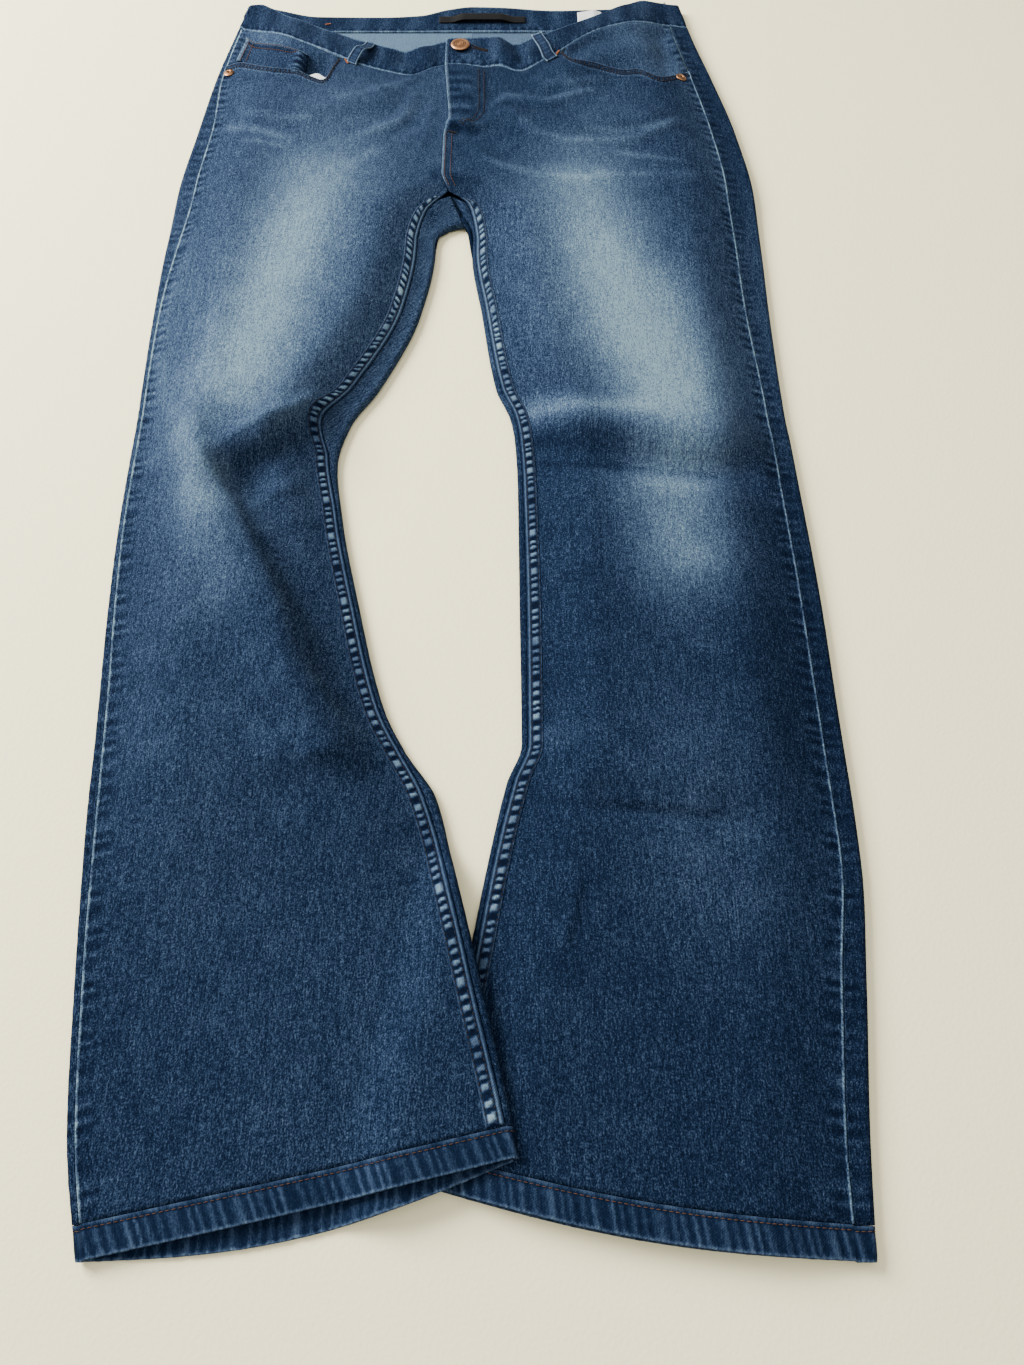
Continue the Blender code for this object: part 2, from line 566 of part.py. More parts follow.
def make_hem(half, collection):
    """Make the turned hem, a ring round the foot of the leg."""
    rows = (LENGTH - HEM_DEPTH + SEAM_GAP / 2, LENGTH - HEM_DEPTH / 2, LENGTH)
    grid = np.stack([hem_row(half, row) for row in rows])
    cloth("hem_" + half.name, grid, HEM_CLOTH, SEAM_DENIM, collection, "out", ring=True)


def band_columns(half):
    """Return the x places of the waistband over a half's front and its pocket's facing."""
    facing, front = front_columns(half, 0.0), front_columns(half, 0.0, half.cut)
    corner = CUT_CORNER[half.name]
    return np.concatenate((facing[half.toward * (facing - corner) < 0], front[half.toward * (front - corner) >= 0]))


def band_row(row):
    """Return a row of the waistband, from its hidden end round the back to its top end."""
    hidden, turned = 2.0, -7.0
    top_end = float(fly_line(43.0))
    right = band_columns(RIGHT)
    right = RIGHT.front(np.concatenate((right, np.linspace(top_end + 0.6, hidden, 4)))[::-1], row)
    tuck = BAND_CLOTH + SEAM_GAP
    right[:, 2] -= tuck * smooth(right[:, 0], turned, top_end - 0.6)
    left = LEFT.front(band_columns(LEFT), row)
    backs = [back_row(half, row) for half in HALVES]
    return np.concatenate((right[:-1], backs[0], backs[1][::-1][1:], left[1:]))


def make_waistband(collection):
    """Make the waistband, an open ring whose left end laps over its right end."""
    rows = (-BAND_WIDTH, -BAND_WIDTH / 2, -SEAM_GAP)
    grid = np.stack([band_row(row) for row in rows])
    cloth("waistband", grid, BAND_CLOTH, DENIM, collection, "out")


def facing_depth(half, x, row):
    """Return how far a pocket's facing lies under the front: level with it at its seams."""
    beside = smooth(half.toward * (x - half.seam_out(5.0)[0]), 0.35, 1.9)
    under = smooth(row, 0.0, 2.0)
    past = smooth(half.toward * (x - CUT_CORNER[half.name]), -2.4, -1.0)
    return FACING_DEPTH * beside * (1 - (1 - under) * (1 - past))


def facing_grid(half, share_rows):
    """Return the points of a pocket's facing, on the front's own columns."""
    start = half.seam_out(5.0)[0]
    grid = []
    for share in share_rows:

        def row_at(x):
            tuck = 1.2 * smooth(half.toward * (x - start), 1.2, 2.6)
            return 4 * SEAM_GAP + (half.cut(x) - 5 * SEAM_GAP + tuck) * share

        x = front_columns(half, 0.0, row_at)[:FACING_COLUMNS]
        row = row_at(x)
        grid.append(np.column_stack((half.front(x, row), facing_depth(half, x, row))))
    grid = np.stack(grid)
    points = moved(grid[..., :3], -grid[..., 3])
    if half is RIGHT:
        points[..., 2] -= fold_height(GAPE, points[..., 0], points[..., 1])
    return points


def make_front_pocket(half, collection):
    """Make a front pocket: its denim facing and its white bag, and the right coin pocket."""
    shares = np.array((0.0, 0.15, 0.30, 0.45, 0.6, 0.75, 0.88, 1.0))
    grid = facing_grid(half, shares)
    cloth("facing_" + half.name, grid, CLOTH, DENIM, collection)
    if half is RIGHT:
        patch = moved(grid, SEAM_GAP)[2:-1, COIN_COLUMNS[0]:COIN_COLUMNS[1]]
        cloth("coin_pocket", patch, COIN_CLOTH, DENIM, collection, build="out")
    bag = front_grid(half)[:6, BAG_COLUMNS[0]:BAG_COLUMNS[1]]
    x = bag[0, :, 0]
    bag[0] = half.front(x, half.cut(x) + 0.4 - bag_shows(half, x))
    cloth("pocket_bag_" + half.name, moved(bag, -(CLOTH + 2 * SEAM_GAP)), BAG_CLOTH, POCKET_WHITE, collection)


def bag_shows(half, x):
    """Return how far the white bag stands out of the pocket's opening."""
    return 1.2 * np.exp(-((x + 13.4) / 0.9) ** 2) if half is RIGHT else 0.0 * x


def make_fly(collection):
    """Make what lies behind the fly: the zip's tape, its slider and the fly shield."""
    rows = np.linspace(0.4, 17.0, 7)
    tape = np.stack([LEFT.front(np.linspace(-3.6, -0.9, 5), row) for row in rows])
    cloth("zip_tape", moved(tape, -(CLOTH + 2 * SEAM_GAP)), 0.10, BRASS, collection)
    shield = np.stack([LEFT.front(np.linspace(-4.2, 1.9, 7), row) for row in rows])
    cloth("fly_shield", moved(shield, -0.68), CLOTH, DENIM, collection)
    x, y = -2.25, 40.0
    top = float(LEFT.upper(x, y)) - CLOTH - 0.10 - 4 * SEAM_GAP
    box("zip_slider", (0.5, 1.6, 0.26), (x, y, top - 0.16), BRASS, collection)


def box(name, size, centre, finish, collection):
    """Make a block with rounded edges; size and centre are in centimetres."""
    block = bmesh.new()
    bmesh.ops.create_cube(block, size=1.0)
    for corner in block.verts:
        corner.co = Vector(corner.co[axis] * size[axis] * CM for axis in range(3))
    mesh = bpy.data.meshes.new(name)
    block.to_mesh(mesh)
    block.free()
    piece = add_object(name, mesh, finish, collection)
    piece.location = Vector(piece.location) + Vector(centre) * CM
    edges = piece.modifiers.new("edges", "BEVEL")
    edges.width = min(size) * CM * 0.25
    edges.segments = 1
    return piece


def turned_piece(name, profile, centre, normal, finish, collection):
    """Make a round piece from a half profile of (radius, height), set on a surface."""
    mesh = bpy.data.meshes.new(name)
    mesh.from_pydata([(radius * CM, 0.0, height * CM) for radius, height in profile],
                     [(i, i + 1) for i in range(len(profile) - 1)], [])
    piece = add_object(name, mesh, finish, collection)
    piece.location = Vector(piece.location) + Vector(centre) * CM
    piece.rotation_euler = Vector(normal).to_track_quat("Z", "Y").to_euler()
    screw = piece.modifiers.new("turn", "SCREW")
    screw.steps = screw.render_steps = 14
    screw.use_merge_vertices = True
    screw.merge_threshold = 0.00001
    return piece


def surface_frame(half, x, row):
    """Return a point of the front or waistband and the direction straight out of it."""
    step = 0.3
    here = half.front(np.array([x - step, x, x + step]), row)
    there = half.front(np.array([x, x]), np.array([row - step, row + step]))
    out = np.cross(here[2] - here[0], there[0] - there[1])
    return here[1], out / np.linalg.norm(out)


def make_metal(collection):
    """Make the waist button and the two rivets at the pocket ends."""
    point, out = surface_frame(LEFT, -0.9, -2.5)
    head = ((0.0, 0.36), (0.22, 0.37), (0.30, 0.34), (0.52, 0.33), (0.62, 0.36), (0.80, 0.34),
            (0.87, 0.26), (0.84, 0.17), (0.30, 0.13), (0.30, 0.0), (0.0, 0.0))
    turned_piece("button", head, point + out * SEAM_GAP, out, COPPER, collection)
    rivet = ((0.0, 0.10), (0.14, 0.10), (0.20, 0.15), (0.36, 0.13), (0.48, 0.06), (0.49, 0.0), (0.0, 0.0))
    for half, x, row in ((RIGHT, -22.3, 7.6), (LEFT, 19.4, 8.6)):
        point, out = surface_frame(half, x, row)
        turned_piece("rivet_" + half.name, rivet, point + out * SEAM_GAP * 1.6, out, COPPER, collection)


def make_front_loop(half, top_x, bottom_x, arch, waves, collection):
    """Make a belt loop over the front of the waistband; it stands off between its ends."""
    width, rows = 1.0, 9
    share = np.linspace(0, 1, rows)
    grid = []
    for t in share:
        middle = top_x + (bottom_x - top_x) * t + 0.18 * waves * math.sin(2 * math.pi * t)
        x = middle + half.toward * width * np.array((-0.5, 0.0, 0.5))
        grid.append(half.front(x, -BAND_WIDTH + 0.1 + (BAND_WIDTH + 0.75) * t))
    off = SEAM_GAP * 1.5 + arch * np.sin(math.pi * share) ** 2
    cloth("belt_loop_" + half.name, moved(np.stack(grid), np.repeat(off[:, None], 3, axis=1)), 0.13,
          SEAM_DENIM, collection, build="out")


def make_back_loops(collection):
    """Make the three belt loops that the back of the waistband lies on."""
    for name, x in (("belt_loop_back_right", -13.0), ("belt_loop_back", 0.2), ("belt_loop_back_left", 13.0)):
        box(name, (1.0, 4.6, 0.12), (x, WAIST_Y + 1.5, 0.06), SEAM_DENIM, collection)


def make_back_pocket(half, collection):
    """Make a plain back pocket, a five-sided patch that the seat lies on."""
    middle = {"right": -11.8, "left": 12.2}[half.name]
    outline = ((-7.0, 7.5), (-6.6, -5.3), (0.0, -7.5), (6.6, -5.3), (7.0, 7.5))
    flat = bpy.data.curves.new("back_pocket_" + half.name, "CURVE")
    flat.dimensions = "2D"
    flat.fill_mode = "BOTH"
    flat.extrude = CLOTH * CM / 2
    spline = flat.splines.new("POLY")
    spline.points.add(len(outline) - 1)
    for point, (x, y) in zip(spline.points, outline):
        point.co = (x * CM, y * CM, 0.0, 1.0)
    spline.use_cyclic_u = True
    piece = add_object("back_pocket_" + half.name, flat, DENIM_BACK, collection)
    piece.location = Vector(piece.location) + Vector((middle, 35.0, CLOTH / 2)) * CM


def make_tabs(collection):
    """Make the bare tabs inside the back of the waistband: a black loop and a white tab."""
    share = np.linspace(0, 1, 9)
    arch = 0.30 * smooth(share, 0.12, 0.3) * (1 - smooth(share, 0.7, 0.88))
    inner_face = SEAT_LIFT + BAND_CLOTH + SEAM_GAP
    x = -3.2 + 8.4 * share
    rows = [np.stack((x, np.full(9, y), inner_face + arch), axis=-1) for y in (52.7, 51.7)]
    cloth("waist_tape", np.stack(rows), 0.07, BLACK_TAPE, collection, build="out")
    x = np.linspace(10.3, 12.7, 4)
    lean = np.array((0.0, 0.06, 0.22, 0.0))
    rows = [np.stack((x, np.full(4, y), inner_face + lean), axis=-1) for y in (53.4, 52.2, 50.9)]
    cloth("care_tab", np.stack(rows), 0.05, POCKET_WHITE, collection, build="out")


def main():
    """Clear the scene and make every piece of the jeans."""
    for old in list(bpy.data.objects):
        bpy.data.objects.remove(old, do_unlink=True)
    jeans = bpy.data.collections.new("bootcut_jeans")
    bpy.context.scene.collection.children.link(jeans)
    for half in HALVES:
        make_legs(half, jeans)
        make_hem(half, jeans)
        make_front_pocket(half, jeans)
        make_back_pocket(half, jeans)
    make_waistband(jeans)
    make_fly(jeans)
    make_metal(jeans)
    make_front_loop(RIGHT, -9.8, -10.6, 0.55, 1.0, jeans)
    make_front_loop(LEFT, 6.3, 7.5, 0.30, 0.0, jeans)
    make_back_loops(jeans)
    make_tabs(jeans)


main()
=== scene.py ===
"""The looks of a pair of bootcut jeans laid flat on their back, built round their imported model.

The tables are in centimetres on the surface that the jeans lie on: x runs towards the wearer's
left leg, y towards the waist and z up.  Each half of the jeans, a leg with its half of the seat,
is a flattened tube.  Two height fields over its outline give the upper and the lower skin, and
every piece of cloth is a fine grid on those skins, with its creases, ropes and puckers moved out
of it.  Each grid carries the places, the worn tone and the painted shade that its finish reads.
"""

from __future__ import annotations

from collections.abc import Callable, Sequence
from dataclasses import dataclass, field
from enum import Enum
from functools import cache
import logging
import math
from typing import Any, NamedTuple

import bpy
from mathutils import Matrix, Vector
import numpy as np


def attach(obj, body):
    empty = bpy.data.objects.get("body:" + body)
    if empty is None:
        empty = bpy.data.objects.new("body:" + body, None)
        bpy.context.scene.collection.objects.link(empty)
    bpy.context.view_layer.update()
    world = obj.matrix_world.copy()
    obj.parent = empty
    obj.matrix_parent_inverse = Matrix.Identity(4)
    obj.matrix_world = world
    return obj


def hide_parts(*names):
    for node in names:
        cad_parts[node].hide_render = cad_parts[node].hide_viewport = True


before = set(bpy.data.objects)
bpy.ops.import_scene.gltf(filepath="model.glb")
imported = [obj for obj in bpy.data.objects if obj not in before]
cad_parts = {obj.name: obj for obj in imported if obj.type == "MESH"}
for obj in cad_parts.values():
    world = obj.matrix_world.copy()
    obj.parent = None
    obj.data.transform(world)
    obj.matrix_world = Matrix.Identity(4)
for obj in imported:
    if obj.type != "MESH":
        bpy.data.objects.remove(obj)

log = logging.getLogger("bootcut_jeans")

Numbers = np.ndarray
Point = tuple[float, float]
Line = tuple[Point, ...]
Smooth = Callable[[Any], Numbers]
Colour = tuple[float, float, float]
Profile = tuple[tuple[float, float, float], ...]

CM = 0.01
PLACE = (0.05, -0.45)          # from the tables' origin to the middle of the jeans, in centimetres
BODY = "root"

# Walls and gaps, in centimetres
CLOTH = 0.12
BAND_CLOTH = 0.24
HEM_CLOTH = 0.20
BAG_CLOTH = 0.08
SEAM_GAP = 0.03
SEAT_LIFT = 0.16

# Seams, the fork and the hem; a row is a length down the leg from the waistband's lower seam
WAIST_Y = 50.3
BAND_WIDTH = 3.8
YOKE_SIDE = 3.5
YOKE_VEE = 3.0
FORK_ROW = 28.0
JOIN_ROW = 30.8
LENGTH = 103.7
HEM_DEPTH = 1.6
FORK_TIP = (0.1, 22.3)
FORK_JOIN = (-1.5, 25.3)
FORK_FOOT = 20.4
FLY_TOP = -2.2

# Shape of the skins
ROLL = 0.32
RISE_OUT = 6.0
RISE_IN = 5.0
CUT_FADE = 20.0
SAG_FADE = 16.0
VEE_FADE = 15.0
LAP_HEIGHT = 1.0
SAG_FROM = 80.0
SAMPLES = 90

# Where the tables' creases were seen from, and the levels that their places were read on
EYE = (3.9, -51.9, 58.5)
READ_HIGH = 2.2
READ_LOW = 1.6
READ_CHANGE = -18.0

CHUNK = 4000                   # points that are measured against a line at once
FAR = 9.0                      # written where no seam is near
UP = np.array((0.0, 0.0, 1.0))


class Side(Enum):
    """The wearer's right or left, with the way to its inner side along x."""

    RIGHT = 1
    LEFT = -1

    @property
    def word(self) -> str:
        """Return the word that the names of this side's pieces end in."""
        return self.name.lower()


class Held(Enum):
    """How a piece of cloth lies."""

    LAID = "laid"
    FOLDED = "folded"


class Facing(Enum):
    """Which way the right side of a piece of cloth looks."""

    UP = 1
    DOWN = -1
    OUT = 0


class Station(NamedTuple):
    """One section of a leg: its edges, the back cloth beside them, its rise and its front bow."""

    y: float
    edge_out: float
    strip_out: float
    edge_in: float
    strip_in: float
    puff: float
    bow: float


class Crease(NamedTuple):
    """A soft ridge along a line; a trough has a negative height."""

    height: float
    width: float
    points: Line
    taper: float = 0.0


def table(kind: type, *rows: Sequence[Any]) -> tuple[Any, ...]:
    """Return a table's rows as rows of a kind."""
    return tuple(kind(*row) for row in rows)


RIGHT_STATIONS = table(
    Station,
    (54.3, -21.9, 0.30, -2.4, 1.5, 1.1, 0.0), (49.0, -22.7, 0.36, -2.4, 1.5, 1.2, 0.0),
    (42.1, -23.6, 0.62, -2.4, 1.5, 1.2, 0.0), (34.1, -24.2, 1.38, -2.4, 1.5, 1.2, 0.0),
    (26.1, -24.7, 1.50, -2.4, 1.5, 1.3, 0.0), (19.1, -24.7, 1.00, -2.4, 1.5, 1.5, 0.0),
    (12.1, -24.5, 0.50, -3.3, 1.4, 1.8, 0.0), (4.1, -24.1, 0.40, -6.1, 1.7, 2.0, 0.0),
    (0.6, -23.9, 0.40, -8.0, 1.9, 2.1, 0.0), (-2.9, -23.8, 0.40, -8.7, 0.6, 2.0, 0.0),
    (-7.9, -23.6, 0.40, -8.0, 0.32, 1.9, 0.0), (-14.9, -23.1, 0.50, -6.4, 0.32, 1.9, 0.0),
    (-22.9, -22.3, 0.60, -4.2, 0.32, 1.7, 0.0), (-25.9, -22.0, 0.60, -2.7, 0.32, 1.6, 0.0),
    (-28.9, -21.75, 0.65, -0.7, 0.70, 1.4, 0.0), (-32.9, -21.3, 0.60, 0.4, 0.50, 1.2, 0.0),
    (-39.9, -20.4, 0.50, 2.2, 0.50, 1.0, 0.0), (-47.9, -19.2, 0.50, 4.1, 0.40, 0.8, 0.0),
    (-53.6, -17.6, 0.40, 5.0, 0.32, 0.7, -0.1),
)
LEFT_STATIONS = table(
    Station,
    (54.3, 20.3, 1.60, 0.6, 0.32, 1.1, 0.0), (48.1, 21.3, 1.80, 0.6, 0.32, 1.2, 0.0),
    (42.1, 22.5, 2.00, 0.6, 0.32, 1.2, 0.0), (34.1, 23.9, 2.30, 0.6, 0.32, 1.2, 0.0),
    (26.1, 24.6, 2.40, 0.6, 0.32, 1.3, 0.0), (19.1, 24.5, 2.20, 0.6, 0.32, 1.5, 0.0),
    (12.1, 24.3, 2.00, 1.5, 0.32, 1.7, 0.0), (4.1, 24.2, 1.50, 2.7, 0.35, 1.7, 0.0),
    (1.1, 24.2, 1.40, 3.8, 0.32, 1.7, 0.0), (-0.9, 24.3, 1.40, 4.1, 0.32, 1.7, 0.0),
    (-4.9, 24.4, 1.40, 4.3, 0.35, 1.5, 0.0), (-14.9, 24.6, 1.40, 4.4, 0.45, 1.4, 0.0),
    (-25.4, 24.5, 1.30, 4.5, 0.36, 1.4, 0.0), (-27.9, 24.5, 1.30, 3.6, 0.40, 1.2, 0.0),
    (-32.9, 24.4, 1.20, 2.5, 0.32, 0.9, 0.0), (-39.9, 23.6, 1.40, 1.2, 0.32, 0.7, 0.0),
    (-47.9, 22.5, 1.30, -0.5, 0.32, 0.6, -0.4), (-53.6, 21.9, 1.00, -1.1, 0.32, 0.6, -0.75),
)
# x, drop of the back waistband's upper edge
BACK_EDGE = ((-19.5, 0.0), (-15.0, 1.3), (-8.9, 1.4), (-5.0, 1.1), (-2.4, 0.1), (0.0, -0.4), (2.7, -0.3),
             (8.0, 0.25), (14.0, 0.0))
# y, x of the inseam from the join to the fork's foot
RIGHT_INSEAM_HEAD = ((25.3, -1.5), (23.4, -3.2), (21.8, -3.7), (20.4, -3.9))
LEFT_INSEAM_HEAD = ((25.3, -1.5), (24.9, -0.6), (24.4, 0.1), (23.4, 0.5), (22.0, 0.75), (20.4, 0.92))
# row, how far its inner end lies above its outer end on the right and the left leg
ROW_LIFT = ((30.8, 5.8, 5.8), (34.0, 4.2, 4.2), (38.0, 2.6, 2.6), (44.0, 1.0, 1.0),
            (50.0, 0.2, 0.3), (60.0, 1.2, 0.9), (80.0, 3.2, 2.2), (103.7, 4.6, 3.4))
EDGE_LIFT = ((30.8, -0.4), (34.0, 0.6), (38.0, 1.2), (44.0, 0.9))
# y, x of the centre front
FLY_LINE = ((54.3, -2.4), (43.1, -2.3), (38.7, -2.0), (34.2, -1.7), (32.0, -2.1), (27.0, -2.1), (25.3, -1.5))
# x, y of the waistband's lower seam
WAIST_SEAM = ((-22.5, 50.3), (-19.9, 48.8), (-16.2, 46.3), (-14.0, 45.0), (-11.7, 43.5), (-10.0, 42.4),
              (-7.7, 41.4), (-5.5, 40.8), (-3.2, 42.0), (-2.2, 42.3), (1.1, 41.8), (2.6, 42.1),
              (4.6, 41.3), (6.5, 42.7), (8.3, 44.4), (10.7, 46.9), (12.6, 48.2), (16.1, 49.4), (19.6, 50.3))
# x, y of its upper edge, drop of that edge below the skin
WAIST_EDGE = ((-22.0, 54.1, 0.0), (-20.8, 54.3, 0.1), (-19.5, 53.4, 0.3), (-17.6, 51.3, 0.5),
              (-15.2, 49.6, 0.5), (-12.9, 48.1, 0.4), (-9.0, 45.9, 0.2), (-6.2, 44.9, 0.1),
              (-4.2, 45.6, 0.1), (-2.4, 46.4, 0.0), (-0.4, 46.5, 0.0), (2.5, 46.6, 0.0), (4.0, 45.8, 0.1),
              (6.3, 47.0, 0.1), (9.4, 49.2, 0.3), (12.2, 51.3, 0.5), (15.0, 53.2, 0.5), (17.0, 54.2, 0.2),
              (18.9, 54.15, 0.0))
# x, depth of the pocket's cut below the waistband's seam
RIGHT_CUT = ((-23.4, 6.6), (-21.4, 5.4), (-20.4, 5.8), (-18.9, 6.5), (-17.9, 6.7), (-15.7, 6.4), (-14.6, 7.0),
             (-13.4, 7.5), (-12.9, 6.6), (-12.4, 3.2), (-11.7, 0.0), (0.0, 0.0))
LEFT_CUT = ((-3.0, 0.0), (8.3, 0.0), (8.9, 2.6), (9.4, 4.2), (10.5, 5.5), (11.5, 6.1), (13.1, 7.0),
            (14.0, 7.4), (15.3, 7.5), (16.0, 7.9), (16.9, 8.7), (17.5, 8.9), (18.4, 8.5), (20.2, 7.2))

# The largest folds, which the solids have too
FOLDS = table(
    Crease,
    (0.8, 2.0, ((-9.9, 0.5), (-13.6, -1.2), (-16.4, -3.3))),
    (-0.7, 1.5, ((-10.4, -3.6), (-12.6, -4.6), (-14.6, -6.0))),
    (1.0, 2.2, ((-20.8, -0.5), (-18.4, -5.4), (-16.2, -9.0), (-12.4, -15.6),
                (-9.8, -20.4), (-6.4, -24.6))),
    (-0.8, 1.8, ((-15.0, -5.4), (-12.6, -9.4), (-9.6, -15.6), (-6.6, -21.0))),
    (0.22, 1.4, ((-10.2, -26.4), (-6.6, -26.0), (-2.4, -26.9))),
    (-0.14, 1.6, ((-9.8, -28.4), (-6.2, -28.1), (-2.6, -28.8))),
    (1.0, 2.2, ((4.8, -0.2), (11.5, -0.6), (17.0, -1.4), (21.5, -2.8))),
    (-1.0, 1.7, ((5.0, -3.9), (11.1, -4.2), (16.2, -5.3), (20.0, -6.0))),
    (0.30, 1.8, ((5.4, -25.6), (9.0, -27.4), (14.8, -28.6))),
    (-0.22, 1.3, ((4.2, -29.2), (10.9, -30.1), (18.0, -30.9))),
    (0.5, 1.8, ((9.0, 41.6), (12.5, 44.6), (16.5, 45.6))),
    (0.35, 1.6, ((-8.0, 37.5), (-14.0, 35.6), (-19.5, 36.4))),
    (0.35, 1.6, ((4.0, 35.2), (9.5, 33.6), (16.0, 34.6))),
    (0.25, 1.6, ((-0.4, 41.0), (-0.2, 36.0), (-0.6, 33.6))),
)
# Smaller creases of the upper skin
CREASES = table(
    Crease,
    (0.28, 0.55, ((-9.6, 2.2), (-12.1, 0.6), (-14.9, -1.1), (-16.6, -2.5)), 2.5),
    (-0.30, 0.8, ((-10.2, -1.6), (-13.2, -3.3), (-15.6, -5.0)), 2.0),
    (0.12, 0.5, ((-10.0, -6.6), (-12.6, -7.2), (-14.6, -8.6)), 1.5),
    (0.22, 0.7, ((-19.9, -0.6), (-17.7, -4.2), (-15.4, -7.6), (-12.3, -13.6), (-9.6, -18.6)), 3.0),
    (-0.16, 0.6, ((-16.3, -4.6), (-14.4, -8.2), (-11.4, -14.0), (-9.0, -18.0)), 3.0),
    (0.12, 0.5, ((-21.8, 17.8), (-22.4, 12.4), (-22.6, 6.9), (-21.6, 2.0), (-19.9, -1.1)), 3.0),
    (0.10, 0.4, ((-20.5, 16.0), (-20.3, 9.4)), 2.5),
    (-0.08, 0.5, ((-19.6, 13.0), (-19.4, 6.0)), 2.5),
    (0.12, 0.35, ((-20.1, 1.4), (-18.6, -0.8), (-18.2, -1.8)), 1.0),
    (0.14, 0.5, ((-9.9, -19.2), (-8.2, -21.9), (-6.6, -24.2), (-4.3, -25.8), (-2.6, -26.8)), 2.0),
    (-0.10, 0.4, ((-9.2, -19.9), (-7.3, -22.4), (-5.4, -24.4)), 2.0),
    (0.14, 0.35, ((-9.3, -26.8), (-7.4, -26.1), (-6.2, -26.2), (-4.3, -27.6)), 1.2),
    (0.10, 0.4, ((5.3, 0.6), (8.0, 0.4), (11.0, 0.3)), 1.5),
    (-0.14, 0.5, ((5.6, -4.6), (8.4, -4.7), (12.6, -4.9), (18.8, -5.9)), 2.0),
    (0.10, 0.5, ((12.6, -2.2), (16.0, -3.6), (19.8, -4.4)), 2.0),
    (0.20, 0.6, ((5.9, -24.4), (7.0, -26.4), (8.9, -29.2)), 1.4),
    (-0.16, 0.35, ((4.6, -29.6), (8.2, -30.0), (13.0, -30.4), (17.3, -30.9)), 2.0),
    (0.10, 0.35, ((8.6, -29.2), (13.0, -29.7), (16.5, -30.2)), 2.0),
    (0.10, 0.35, ((7.7, -33.8), (7.3, -36.1), (6.5, -38.8)), 1.2),
    (-0.07, 0.35, ((8.3, -34.2), (7.9, -36.4), (7.2, -38.6)), 1.2),
    (0.06, 0.4, ((18.4, -32.6), (17.8, -34.8)), 0.9),
    (0.16, 0.5, ((-4.6, 38.4), (-5.0, 36.2), (-6.0, 33.8), (-9.3, 31.8)), 1.6),
    (-0.10, 0.6, ((-3.9, 36.0), (-4.9, 33.4), (-7.0, 30.8)), 1.6),
    (0.10, 0.5, ((-3.0, 37.0), (-3.4, 33.0), (-4.4, 29.0)), 2.0),
    (0.14, 0.5, ((1.9, 35.2), (3.4, 37.3), (5.4, 37.1), (7.2, 36.6), (10.1, 37.8), (12.0, 38.3)), 1.4),
    (-0.12, 0.5, ((2.5, 34.4), (4.2, 35.9), (6.6, 35.5), (9.6, 36.2)), 1.4),
    (0.16, 0.55, ((0.2, 32.6), (1.6, 33.4), (3.6, 35.4), (4.4, 34.4), (5.9, 32.1), (8.7, 31.0),
                  (12.9, 31.0), (15.1, 31.6), (19.0, 33.9)), 1.8),
    (0.12, 0.45, ((0.4, 30.6), (1.8, 28.9), (3.2, 27.7), (6.8, 26.4), (12.9, 26.0)), 1.8),
    (0.08, 0.4, ((4.6, 30.2), (8.7, 29.6), (12.9, 29.4), (15.7, 28.8), (19.6, 27.9)), 1.8),
    (0.12, 0.5, ((-8.6, 40.2), (-10.2, 38.4), (-13.2, 37.8), (-17.0, 38.8)), 1.6),
    (0.12, 0.5, ((-4.4, 40.2), (-6.6, 38.9), (-9.6, 38.4)), 1.6),
    (0.14, 0.5, ((5.6, 40.6), (6.9, 39.2), (9.8, 39.3), (12.8, 40.2)), 1.4),
    (0.34, 0.42, ((-1.9, 32.9), (-1.2, 33.5), (-0.2, 33.4), (0.5, 32.5)), 0.7),
    (-0.20, 0.35, ((-1.2, 32.5), (-0.2, 32.4)), 0.5),
    (0.22, 0.7, ((2.6, 42.0), (4.4, 43.6), (6.2, 44.2)), 1.2),
    (-0.30, 0.9, ((-6.4, 42.0), (-5.9, 43.6), (-6.6, 45.0)), 1.4),
    (0.30, 0.8, ((-3.9, 41.4), (-3.9, 43.5), (-4.2, 45.6)), 1.4),
    (0.25, 0.8, ((1.9, 46.4), (2.8, 44.5), (2.4, 42.6)), 1.4),
    (-0.22, 0.6, ((4.2, 46.0), (4.6, 44.2), (4.8, 42.0)), 1.4),
)
